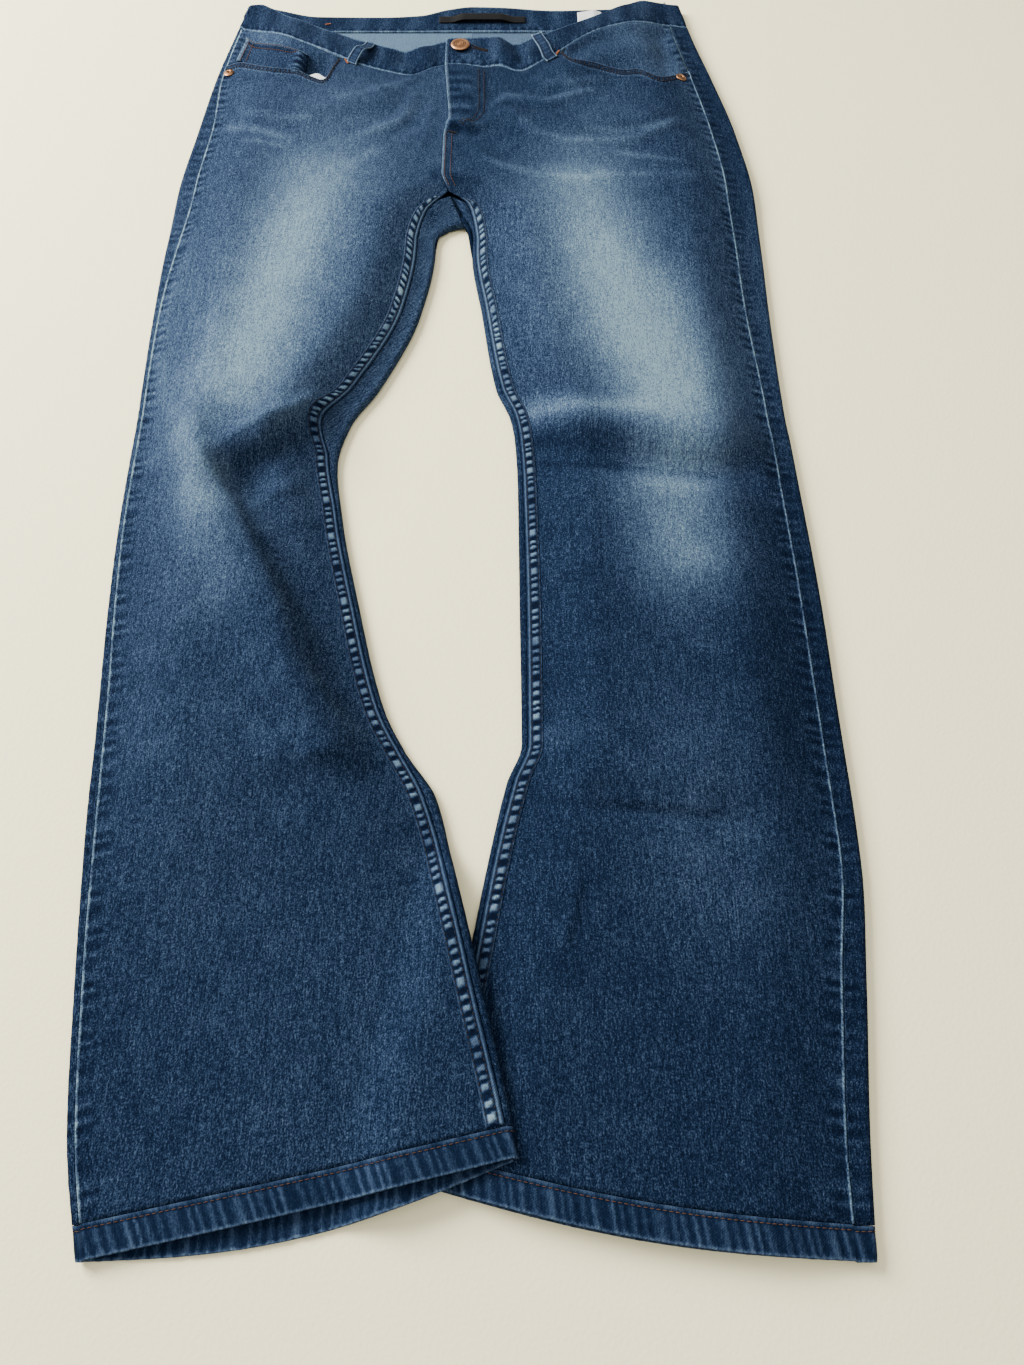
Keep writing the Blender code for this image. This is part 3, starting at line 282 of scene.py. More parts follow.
# Light worn lines, by strength; a line of negative strength is painted shade in a hollow, under a fold or at
# the crotch
WORN_AND_SHADED_LINES = table(
    Crease,
    (0.36, 0.50, ((-21.6, 33.0), (-19.4, 32.9), (-17.7, 32.4), (-14.9, 31.2)), 2.0),
    (0.30, 0.40, ((-19.8, 31.2), (-16.8, 30.7), (-14.7, 30.1)), 1.6),
    (0.22, 0.46, ((-20.6, 35.4), (-17.2, 34.4), (-13.0, 34.2)), 2.0),
    (0.24, 0.55, ((-4.4, 36.8), (-5.2, 34.9), (-6.4, 33.4), (-9.3, 31.8), (-11.0, 31.0)), 1.8),
    (0.23, 0.55, ((-6.9, 30.4), (-8.4, 29.4), (-11.0, 27.2)), 1.6),
    (0.17, 0.55, ((-5.0, 39.3), (-7.2, 38.8), (-9.6, 38.2), (-12.6, 37.0)), 1.8),
    (0.32, 0.45, ((2.1, 36.0), (3.4, 37.4), (5.1, 37.1), (6.8, 36.8), (10.1, 37.9), (11.8, 38.2)), 1.6),
    (0.30, 0.50, ((4.3, 34.8), (5.9, 32.2), (8.7, 31.0), (12.9, 31.0), (15.1, 31.6),
                  (19.4, 34.2)), 1.8),
    (0.24, 0.42, ((9.6, 33.0), (13.0, 32.4), (16.6, 33.2), (18.8, 34.6)), 1.8),
    (0.24, 0.46, ((0.7, 29.4), (3.2, 27.7), (6.8, 26.4), (12.9, 26.0)), 1.6),
    (0.30, 0.36, ((12.0, 29.6), (15.7, 28.9), (19.6, 27.9)), 1.6),
    (0.24, 0.36, ((10.2, 26.8), (14.6, 26.7), (19.8, 26.6)), 1.6),
    (0.20, 0.55, ((5.7, 40.4), (6.8, 39.3), (9.6, 39.3), (12.4, 40.0)), 1.6),
    (0.14, 0.87, ((-21.8, 17.8), (-22.4, 12.4), (-22.7, 6.9), (-21.8, 2.2), (-19.9, -1.1)), 3.0),
    (0.12, 0.72, ((-9.6, 2.2), (-12.1, 0.6), (-14.9, -1.1), (-16.6, -2.5)), 1.6),
    (0.10, 0.58, ((5.3, 0.6), (8.0, 0.5), (11.0, 0.4)), 1.4),
    (0.09, 0.58, ((-9.9, -19.0), (-8.1, -21.8), (-6.5, -24.1), (-4.2, -25.7)), 1.6),
    (0.12, 1.60, ((6.0, -24.2), (7.2, -26.4)), 1.0),
    # painted shade over the left knee's hollow and a painted shadow line along its lower edge
    (-0.24, 1.30, ((5.0, -3.0), (9.0, -3.2), (12.5, -3.7)), 1.0),
    (-0.22, 0.34, ((4.8, -4.5), (8.4, -4.6), (12.6, -4.9), (18.8, -5.8)), 1.2),
    (0.12, 0.45, ((11.6, -6.0), (15.0, -6.4), (18.8, -6.9)), 1.4),
    # the fly's puckers: lighter worn rows on their ridges, painted shade in their troughs, beside the fly and
    # under the fold at its foot
    (-0.30, 0.36, ((-1.9, 40.6), (-0.7, 40.8)), 0.3),
    (-0.30, 0.36, ((-1.9, 39.3), (-0.6, 39.4), (0.4, 39.2)), 0.3),
    (0.24, 0.36, ((-1.9, 40.0), (-0.8, 40.1), (0.3, 39.9)), 0.3),
    (0.24, 0.36, ((-1.9, 38.7), (-0.9, 38.8), (0.5, 38.5)), 0.3),
    (0.24, 0.36, ((-1.8, 37.6), (-0.6, 37.6)), 0.3),
    (0.24, 0.36, ((-1.8, 35.7), (-0.6, 35.9), (0.4, 35.6)), 0.3),
    (-0.30, 0.36, ((-1.9, 38.2), (-0.6, 38.1)), 0.3),
    (-0.30, 0.36, ((-1.8, 37.0), (-0.4, 37.1), (0.6, 36.8)), 0.3),
    (-0.30, 0.36, ((-1.8, 35.1), (-0.5, 35.2), (0.5, 34.9)), 0.3),
    (-0.12, 0.90, ((-1.0, 41.0), (-0.9, 35.4)), 0.5),
    (-0.40, 0.34, ((-1.9, 32.5), (-1.2, 33.0), (-0.2, 32.5), (0.5, 32.0), (1.2, 32.4)), 0.5),
    (0.22, 0.26, ((-1.5, 33.3), (-0.8, 33.9), (0.2, 33.7), (0.9, 33.0)), 0.5),
    # painted shade at the crotch
    (-0.30, 0.60, ((-3.2, 26.9), (-2.4, 26.4), (-2.0, 25.7)), 0.4),
    (-0.34, 0.60, ((-1.4, 26.2), (-0.6, 25.4), (0.6, 25.0)), 0.4),
    (-0.20, 0.60, ((1.2, 29.4), (2.6, 28.6)), 0.6),
    (0.16, 0.30, ((-0.4, 24.9), (0.4, 24.6)), 0.3),
    # painted shade in the right knee's hollow
    (-0.18, 1.30, ((-10.5, -3.0), (-13.0, -4.4), (-15.5, -5.8)), 1.0),
)
# y, tone of the right and of the left leg's upper side
WASH = ((-54.0, 0.32, 0.27), (-45.0, 0.30, 0.26), (-30.0, 0.32, 0.275), (-20.0, 0.34, 0.24),
        (-10.0, 0.37, 0.25), (0.0, 0.43, 0.34), (10.0, 0.46, 0.40), (30.0, 0.41, 0.33), (44.0, 0.38, 0.29),
        (54.0, 0.37, 0.30))
# Broad fades: strength, half width, middle line
FADES = table(
    Crease,
    (0.34, 4.4, ((-12.4, 26.0), (-13.2, 21.0), (-14.4, 15.0), (-15.4, 9.0), (-16.6, 4.4))),
    (0.14, 2.6, ((-13.4, 22.0), (-14.6, 15.0), (-15.6, 8.0), (-16.0, 2.0))),
    (0.24, 1.7, ((-19.6, -1.4), (-18.2, -4.6), (-17.4, -8.0))),
    (0.16, 2.6, ((-18.0, -6.4), (-16.8, -10.0), (-15.6, -14.4))),
    (0.43, 4.6, ((9.6, 25.0), (10.8, 19.0), (12.2, 12.0), (14.0, 6.0), (15.4, 2.0))),
    (0.16, 2.8, ((11.0, 18.0), (12.8, 10.0), (14.6, 4.0))),
    (0.14, 2.4, ((16.0, 13.0), (17.2, 5.0))),
    (0.22, 2.8, ((16.0, 1.0), (17.0, -3.4))),
    (0.45, 3.9, ((14.8, -7.0), (15.4, -11.6))),
    (0.12, 1.6, ((20.0, 40.0), (21.2, 33.0), (22.0, 25.0))),
    (0.08, 3.2, ((15.4, -13.0), (15.0, -17.6))),
    (0.10, 4.5, ((15.0, -24.0), (15.6, -34.0))),
    (0.03, 3.5, ((-14.6, -22.0), (-13.6, -34.0))),
    (0.27, 1.2, ((5.4, 1.0), (9.0, 0.9), (13.0, 0.7))),
    (0.08, 4.2, ((-12.5, 36.5), (-11.5, 31.5))),
    (0.10, 4.0, ((12.0, 36.0), (10.5, 31.0))),
)
# Soft ridges of the side that the jeans lie on
UNDER_CREASES = table(
    Crease,
    (0.10, 1.2, ((-20.0, 14.0), (-14.0, 15.4), (-8.0, 17.0)), 3.0),
    (0.12, 1.0, ((-20.0, 8.4), (-14.0, 10.8), (-9.0, 13.6)), 3.0),
    (0.14, 1.2, ((-18.6, -3.0), (-14.2, -5.4), (-11.0, -6.4)), 2.0),
    (0.10, 1.0, ((-18.4, -9.6), (-14.6, -12.6)), 2.0),
    (0.12, 1.2, ((8.4, 15.0), (13.6, 12.8), (20.0, 12.2)), 3.0),
    (0.12, 1.0, ((8.0, -3.6), (13.4, -4.4), (19.4, -5.6)), 2.4),
    (0.10, 1.0, ((7.4, -28.8), (12.8, -29.6), (18.4, -30.2)), 2.4),
    (0.10, 1.2, ((-17.4, -25.4), (-11.4, -27.6), (-5.6, -28.4)), 2.4),
)


def curve(knots: Sequence[float], values: Sequence[float]) -> Smooth:
    """Make a smooth function through a table's rows that never overshoots them.

    Args:
        knots: where the rows lie.
        values: the value of each row.

    Returns:
        A function of one number or of an array.
    """
    order = np.argsort(knots)
    xs, ys = np.asarray(knots, float)[order], np.asarray(values, float)[order]
    steps = np.diff(xs)
    slopes = np.diff(ys) / steps
    product, total = slopes[:-1] * slopes[1:], slopes[:-1] + slopes[1:]
    inner = np.where(product > 0, 2 * product / np.where(total == 0, 1, total), 0.0)
    tangents = np.concatenate(([slopes[0]], inner, [slopes[-1]]))

    def value(x: Any) -> Numbers:
        """Return the curve's height at x."""
        x = np.clip(np.asarray(x, float), xs[0], xs[-1])
        i = np.clip(np.searchsorted(xs, x) - 1, 0, len(steps) - 1)
        t = (x - xs[i]) / steps[i]
        rise = ys[i] * (1 + 2 * t) * (1 - t) ** 2 + ys[i + 1] * t ** 2 * (3 - 2 * t)
        return rise + steps[i] * (tangents[i] * t * (1 - t) ** 2 - tangents[i + 1] * t ** 2 * (1 - t))

    return value


def column(table: Sequence[Sequence[float]], value: int) -> Smooth:
    """Return the smooth curve of one column of a table over its first."""
    return curve([row[0] for row in table], [row[value] for row in table])


def smooth(value: Any, low: float = 0.0, high: float = 1.0) -> Numbers:
    """Return 0 below low, 1 above high and an even rise between them."""
    t = np.clip((np.asarray(value, float) - low) / (high - low), 0.0, 1.0)
    return t * t * (3 - 2 * t)


def hump(value: Any, middle: float, width: float) -> Numbers:
    """Return a smooth hump that is 1 at its middle."""
    return np.exp(-((value - middle) / width) ** 2)


def beside(line: Sequence[Point], x: Any, y: Any) -> tuple[Numbers, Numbers, float]:
    """Measure points against a line of joined points.

    Args:
        line: the line's points.
        x: the points' x.
        y: the points' y.

    Returns:
        How far each point lies from the line, how far along it is, and the line's length.
    """
    knots = np.asarray(line, float)
    (ax, ay), (dx, dy) = knots[:-1].T, np.diff(knots, axis=0).T
    lengths = np.hypot(dx, dy)
    before = np.concatenate(([0.0], np.cumsum(lengths)))
    x, y = np.broadcast_arrays(np.asarray(x, float), np.asarray(y, float))
    flat_x, flat_y = x.ravel(), y.ravel()
    nearest, place = np.empty(x.size), np.empty(x.size)
    for first in range(0, x.size, CHUNK):
        part = slice(first, first + CHUNK)
        right, up = flat_x[part, None] - ax, flat_y[part, None] - ay
        t = np.clip((right * dx + up * dy) / lengths ** 2, 0.0, 1.0)
        away = np.hypot(right - t * dx, up - t * dy)
        best = away.argmin(axis=1)
        rows = np.arange(best.size)
        nearest[part], place[part] = away[rows, best], before[best] + t[rows, best] * lengths[best]
    return nearest.reshape(x.shape), place.reshape(x.shape), float(before[-1])


def relief(creases: Sequence[Crease], x: Any, y: Any) -> Numbers:
    """Return the sum of the creases' heights at points; each fades out over its taper."""
    total = np.zeros(np.broadcast(x, y).shape)
    for crease in creases:
        away, place, length = beside(crease.points, x, y)
        height = crease.height * hump(away, 0.0, crease.width)
        if crease.taper:
            from_end = np.minimum(place, length - place)
            height = height * smooth(from_end + 0.15 * crease.taper, 0.0, crease.taper)
        total = total + height
    return total


def wavy(place: Any, pitch: float, seed: float = 0.0) -> Numbers:
    """Return an uneven wave between -1 and 1 whose crests lie about a pitch apart."""
    s = np.asarray(place, float) / pitch
    return np.sin(2 * math.pi * (s + 0.22 * np.sin(1.31 * s + seed) + 0.13 * np.sin(2.77 * s + 2.1 * seed)))


def uneven(place: Any, pitch: float, seed: float = 0.0) -> Numbers:
    """Return a slow uneven swell between 0 and 1 along a seam."""
    s = np.asarray(place, float) / pitch
    return 0.5 + 0.25 * np.sin(2.3 * s + seed) + 0.25 * np.sin(3.9 * s + 1.7 * seed + 0.6)


def unit(vectors: Numbers) -> Numbers:
    """Return vectors with the length 1."""
    return vectors / np.maximum(np.linalg.norm(vectors, axis=-1, keepdims=True), 1e-12)


def normals_of(points: Numbers) -> Numbers:
    """Return a grid's normals."""
    return unit(np.cross(np.gradient(points, axis=1), np.gradient(points, axis=0)))


def outward(points: Numbers) -> Numbers:
    """Return a ring's normals, turned away from its middle."""
    normals = normals_of(points)
    return normals * np.sign(np.einsum("ijk,ijk", normals, points - points.reshape(-1, 3).mean(axis=0)))


def moved(points: Numbers, distance: Any) -> Numbers:
    """Return a grid of points moved along the surface's own normals, up where positive."""
    normals = normals_of(points)
    normals *= np.sign(normals[..., 2:3].mean())
    return points + normals * np.broadcast_to(distance, points.shape[:2])[..., None]


def along(points: Numbers) -> Numbers:
    """Return how far each point lies from the first, along their path or each row's."""
    steps = np.linalg.norm(np.diff(points, axis=-2), axis=-1)
    return np.concatenate((np.zeros(steps.shape[:-1] + (1,)), np.cumsum(steps, axis=-1)), axis=-1)


def between(wanted: Any, places: Numbers, values: Numbers) -> Numbers:
    """Return the three numbers that values have at wanted places along a path."""
    return np.stack([np.interp(wanted, places, values[:, axis]) for axis in range(3)], axis=-1)


def spaced(points: Numbers, step: float) -> Numbers:
    """Return points spaced evenly along a path."""
    places = along(points)
    return between(np.linspace(0.0, places[-1], max(2, int(round(places[-1] / step)) + 1)), places, points)


waist_seam = column(WAIST_SEAM, 1)
waist_edge = column(WAIST_EDGE, 1)
waist_drop = column(WAIST_EDGE, 2)
fly_line = column(FLY_LINE, 1)
edge_lift = column(EDGE_LIFT, 1)
back_edge = column(BACK_EDGE, 1)


@dataclass
class Leg:
    """One leg with its half of the seat: its outline, its two skins and its rows."""

    side: Side
    stations: tuple[Station, ...]
    inseam_head: Line
    cut_table: Line
    lift_column: int
    hem_hang: float
    cut_corner: float

    def __post_init__(self) -> None:
        """Work out the leg's curves and its two edge lines."""
        self.toward = self.side.value
        (self.edge_out, self.strip_out, self.edge_in, self.strip_in, self.puff,
         self.bow) = (column(self.stations, value) for value in range(1, 7))
        self.head = column(self.inseam_head, 1)
        self.cut = column(self.cut_table, 1)
        self.row_lift = column(ROW_LIFT, self.lift_column)
        self.wash = column(WASH, self.lift_column)
        heights = np.arange(54.4, -53.8, -0.8)
        self.outer_line = [(float(self.edge_out(y)), float(y)) for y in heights]
        turn = [self.fork_edge(step / 12) for step in range(13)]
        self.inner_line = turn + [(float(self.edge_in(y)), float(y)) for y in heights[heights < FORK_FOOT]]
        self.folds = self.onto(FOLDS)
        self.creases, self.whiskers, self.fades = map(self.onto, (CREASES, WORN_AND_SHADED_LINES, FADES))

    def onto(self, creases: Sequence[Crease]) -> tuple[Crease, ...]:
        """Move creases from the level that they were read on, along the lines of sight, onto the cloth."""
        own, eye = creases is FOLDS, np.array(EYE[:2])
        found = []
        for crease in creases:
            points = np.array(crease.points)
            x, y = points.T
            high = self.plain(x, y) + (crease.height if own else relief(self.folds, x, y))
            nearer = (EYE[2] - high) / (EYE[2] - np.where(y > READ_CHANGE, READ_HIGH, READ_LOW))
            seen = eye + (points - eye) * nearer[:, None]
            found.append(crease._replace(points=tuple(map(tuple, seen.tolist()))))
        return tuple(found)

    def plain(self, x: Numbers, y: Numbers) -> Numbers:
        """Return the height of the upper side without its folds."""
        return self.floor(x, y) + 2 * ROLL + self.puff(y) * self.from_edges(x, y)[1]

    def from_edges(self, x: Any, y: Any) -> tuple[Numbers, Numbers]:
        """Return how far points lie from the nearer edge, and how much of the rise they have."""
        out, inner = beside(self.outer_line, x, y)[0], beside(self.inner_line, x, y)[0]
        return np.minimum(out, inner), smooth(out - ROLL, 0.0, RISE_OUT) * smooth(inner - ROLL, 0.0, RISE_IN)

    def fork_edge(self, turn: float) -> Point:
        """Return the inner edge between the fork's tip, 0, and its foot, 1."""
        angle = turn * math.pi / 2
        x = FORK_TIP[0] + (float(self.edge_in(FORK_FOOT)) - FORK_TIP[0]) * math.sin(angle)
        return x, FORK_FOOT + (FORK_TIP[1] - FORK_FOOT) * math.cos(angle)

    def floor(self, x: Numbers, y: Numbers) -> Numbers:
        """Return the height of the lowest cloth at points."""
        lifted = SEAT_LIFT * smooth(y, 21.0, 26.5)
        if self.side is Side.LEFT:
            return lifted
        under = LEFT.edge_in(y)
        return lifted + LAP_HEIGHT * smooth(x, under - 4.4, under - 1.2) * smooth(-y, 31.0, 34.0)

    def skins(self, x: Any, y: Any) -> tuple[Numbers, Numbers]:
        """Return the heights of the lower and the upper skin at points of the outline."""
        x, y = np.broadcast_arrays(np.asarray(x, float), np.asarray(y, float))
        nearest, rise = self.from_edges(x, y)
        turned = ROLL * np.sqrt(1 - (1 - np.clip(nearest / ROLL, 0.0, 1.0)) ** 2)
        swell = self.puff(y) + relief(self.folds, x, y)
        if self.side is Side.RIGHT:
            inner = self.edge_in(y)
            swell = swell * (1 - smooth(-y, 26.0, 40.0) * (1 - smooth(x, inner + 0.2, inner + 3.8)))
        small = relief(self.creases, x, y) * smooth(nearest, 0.1, 1.4)
        ground = self.floor(x, y)
        return ground + ROLL - turned, ground + ROLL + turned + swell * rise + small

    def lower(self, x: Any, y: Any) -> Numbers:
        """Return the height of the lower skin."""
        return self.skins(x, y)[0]

    def upper(self, x: Any, y: Any) -> Numbers:
        """Return the height of the upper skin."""
        return self.skins(x, y)[1]

    def seam_out(self, row: Any, aside: float = 0.0) -> tuple[Numbers, Numbers]:
        """Return the outseam's points on rows, or points that far beside it, inwards."""
        y = WAIST_Y - np.asarray(row, float)
        return self.edge_out(y) + self.toward * (self.strip_out(y) + aside), y

    def inner_y(self, row: Any) -> Numbers:
        """Return the y of front rows' ends at the centre front or the inseam."""
        row, top = np.asarray(row, float), float(waist_seam(FLY_TOP))
        return np.where(row <= JOIN_ROW, top + (FORK_JOIN[1] - top) * row / JOIN_ROW,
                        WAIST_Y - row + self.row_lift(row))

    def seam_in(self, row: Any, aside: float = 0.0) -> tuple[Numbers, Numbers]:
        """Return the ends of front rows, or points that far beside them, inwards."""
        y = self.inner_y(row)
        leg = np.where(y > FORK_FOOT, self.head(y), self.edge_in(y) - self.toward * self.strip_in(y))
        return np.where(np.asarray(row) <= JOIN_ROW, fly_line(y), leg) - self.toward * aside, y

    def turn_in(self, row: float) -> Point:
        """Return the point where a row turns over the inner edge."""
        y = WAIST_Y - row + float(edge_lift(row)) if row < EDGE_LIFT[-1][0] else float(self.inner_y(row))
        return float(self.edge_in(y)), y

    def front_y(self, x: Any, row: Any) -> Numbers:
        """Return the y of front rows, or of the waistband where a row is below 0."""
        x, row = np.broadcast_arrays(np.asarray(x, float), np.asarray(row, float))
        body = np.maximum(row, 0.0)
        y_out = WAIST_Y - body
        x_out, (x_in, y_in) = self.edge_out(y_out), self.seam_in(body)
        t = np.clip((x - x_out) / (x_in - x_out), 0.0, 1.0)
        start, seam = float(self.edge_out(WAIST_Y)), waist_seam(x)
        across = np.clip((x - start) / (FLY_TOP - start), 0.0, 1.0)
        straight = WAIST_Y + (float(waist_seam(FLY_TOP)) - WAIST_Y) * across
        sag = (seam - straight) * np.clip(1 - body / SAG_FADE, 0.0, 1.0) ** 2
        return (y_out + (y_in - y_out) * t + sag + self.bow(y_out) * np.sin(math.pi * t)
                + self.up_band(row) * (waist_edge(x) - seam))

    @staticmethod
    def up_band(row: Numbers) -> Numbers:
        """Return how far up the waistband rows lie, 1 at its upper edge."""
        return np.clip(-row / BAND_WIDTH, 0.0, None)

    def front(self, x: Any, row: Any) -> Numbers:
        """Return points of the upper skin on front rows; a row below 0 is the waistband's."""
        x, row = np.broadcast_arrays(np.asarray(x, float), np.asarray(row, float))
        y = self.front_y(x, row)
        return np.stack((x, y, self.upper(x, y) - self.up_band(row) * waist_drop(x)), axis=-1)

    def run(self, start: Point, end: Point, skin: Smooth, bend: Smooth | None = None) -> Numbers:
        """Return points from start to end on a skin, closest together at both ends."""
        t = (1 - np.cos(math.pi * np.linspace(0, 1, SAMPLES))) / 2
        x, y = start[0] + (end[0] - start[0]) * t, start[1] + (end[1] - start[1]) * t
        if bend:
            y = y + bend(x)
        return np.stack((x, y, skin(x, y)), axis=-1)

    def seat_bend(self, row: float) -> Smooth:
        """Return how a back row dips towards the centre back, as a function of x."""
        if row < 0:
            return lambda x: row / BAND_WIDTH * back_edge(x)
        deep = smooth(row, 0.0, YOKE_SIDE) * (1 - smooth(row, YOKE_SIDE, VEE_FADE))
        edge = float(self.edge_out(WAIST_Y - row))
        return lambda x: -YOKE_VEE * deep * np.clip((x - edge) / (FORK_TIP[0] - edge), 0.0, 1.0)

    def hem_bend(self, row: float, start: float, end: float) -> Smooth:
        """Return how a back row hangs down between its ends near the hem."""
        deep = self.hem_hang * smooth(row, SAG_FROM, LENGTH)
        return lambda x: -deep * np.sin(math.pi * np.clip((x - start) / (end - start), 0.0, 1.0))

    def back_runs(self, row: float) -> list[Numbers]:
        """Return a back row's runs: round the outer edge, along the floor and up again."""
        x, y = (float(value) for value in self.seam_out(row, -SEAM_GAP / 2))
        edge = (float(self.edge_out(y)), y)
        runs = [self.run((x, y), edge, self.upper)]
        if row <= FORK_ROW:
            middle = (FORK_TIP[0] - self.toward * SEAM_GAP / 2, y)
            return runs + [self.run(edge, middle, self.lower, self.seat_bend(row))]
        if row <= JOIN_ROW:
            return runs + self.fork_runs(edge, (row - FORK_ROW) / (JOIN_ROW - FORK_ROW))
        turn = self.turn_in(row)
        end = tuple(float(value) for value in self.seam_in(row, -SEAM_GAP / 2))
        return runs + [self.run(edge, turn, self.lower, self.hem_bend(row, edge[0], turn[0])),
                       self.run(turn, end, self.upper)]

    def fork_runs(self, edge: Point, share: float) -> list[Numbers]:
        """Return the runs of a row whose end lies on the seat seam round the fork's tip."""
        below = 0.25
        aside = Vector((-self.toward * 1.7 * SEAM_GAP, 0.0))
        tip = Vector(FORK_TIP) + aside
        if share <= below:
            return [self.run(edge, tip + Vector((0.0, 1.2 * ROLL * (1 - share / below))), self.lower)]
        past = (share - below) / (1 - below)
        turn = self.fork_edge(past)
        crown = Vector(FORK_JOIN).lerp(Vector(FORK_TIP), 0.14) + aside * 0.9
        return [self.run(edge, turn, self.lower), self.run(turn, tip.lerp(crown, past ** 1.6), self.upper)]

    def back_row(self, row: float, strip: int = 10, round_edge: int = 8, ground: int = 30) -> Numbers:
        """Lay out a back row's points, closest together where the cloth turns over its edges.

        Args:
            row: how far down the leg it lies.
            strip: points on the strip that shows beside each seam.
            round_edge: points round each turned edge.
            ground: points along the floor.

        Returns:
            The points and, in a fourth column, how far along the row each lies.
        """
        runs = self.back_runs(row)
        path = np.concatenate([runs[0]] + [part[1:] for part in runs[1:]])
        places = along(path)
        length = places[-1]

        def end_places(width: float) -> Numbers:
            """Return places from one end of the row over its turned edge."""
            edge, quarter = max(width, 0.40), ROLL * math.pi / 2
            first = max(0.2, width - quarter)
            return np.concatenate((np.linspace(0.0, first, strip, endpoint=False),
                                   np.linspace(first, edge + quarter, round_edge)))

        start = end_places(places[SAMPLES - 1])
        inner = length - places[2 * SAMPLES - 2] if len(runs) == 3 else 0.0
        end = length - end_places(inner)[::-1]
        wanted = np.concatenate((start, np.linspace(start[-1], end[0], ground + 2)[1:-1], end))
        return np.column_stack((between(wanted, places, path), wanted))

    def columns(self, row: float, fractions: Numbers, outer_row: float | None = None) -> Numbers:
        """Return the x places of a front row's points from the outseam to its inner end."""
        start = float(self.seam_out(row if outer_row is None else outer_row, SEAM_GAP / 2)[0])
        end = float(self.seam_in(row, SEAM_GAP / 2)[0])
        return start + (end - start) * fractions

    def bent_columns(self, row: float, fractions: Numbers, row_at: Smooth) -> Numbers:
        """Return a bent row's places; row_at gives the row that it has reached at each x."""
        outer = row
        for _ in range(4):
            outer = float(row_at(float(self.seam_out(outer)[0])))
        return self.columns(row, fractions, outer)


LEFT = Leg(Side.LEFT, LEFT_STATIONS, LEFT_INSEAM_HEAD, LEFT_CUT, 2, 0.8, 8.3)
RIGHT = Leg(Side.RIGHT, RIGHT_STATIONS, RIGHT_INSEAM_HEAD, RIGHT_CUT, 1, 1.25, -11.7)
LEGS = (RIGHT, LEFT)
BACK_POCKET_PLACES = {Side.RIGHT: (-11.8, 35.0), Side.LEFT: (12.2, 35.0)}


# --------------------------------------------------------------------------- finishes


class Wire:
    """A shader value that Python's operators work on."""

    def __init__(self, nodes: Nodes, socket: Any) -> None:
        """Keep the value's socket and the maker of nodes that it belongs to."""
        self.nodes, self.socket = nodes, socket

    def _math(self, operation: str, first: Any, second: Any = 0.0) -> Wire:
        """Return the result of a Math node on two values."""
        return self.nodes.add("ShaderNodeMath", {"operation": operation}, {0: first, 1: second})

    def __add__(self, other: Any) -> Wire:
        """Return this value plus another."""
        return self._math("ADD", self, other)

    __radd__ = __add__

    def __sub__(self, other: Any) -> Wire:
        """Return this value less another."""
        return self._math("SUBTRACT", self, other)

    def __rsub__(self, other: Any) -> Wire:
        """Return another value less this one."""
        return self._math("SUBTRACT", other, self)

    def __mul__(self, other: Any) -> Wire:
        """Return this value times another."""
        return self._math("MULTIPLY", self, other)

    __rmul__ = __mul__

    def sine(self) -> Wire:
        """Return the sine of the value."""
        return self._math("SINE", self)

    def clamped(self) -> Wire:
        """Return the value kept between 0 and 1."""
        return self._math("MINIMUM", self._math("MAXIMUM", self, 0.0), 1.0)

    def step(self, low: float, high: float) -> Wire:
        """Return 0 below low, 1 above high and a soft rise between them."""
        return self.nodes.add("ShaderNodeMapRange", {"interpolation_type": "SMOOTHSTEP"},
                              {"Value": self, "From Min": low, "From Max": high})


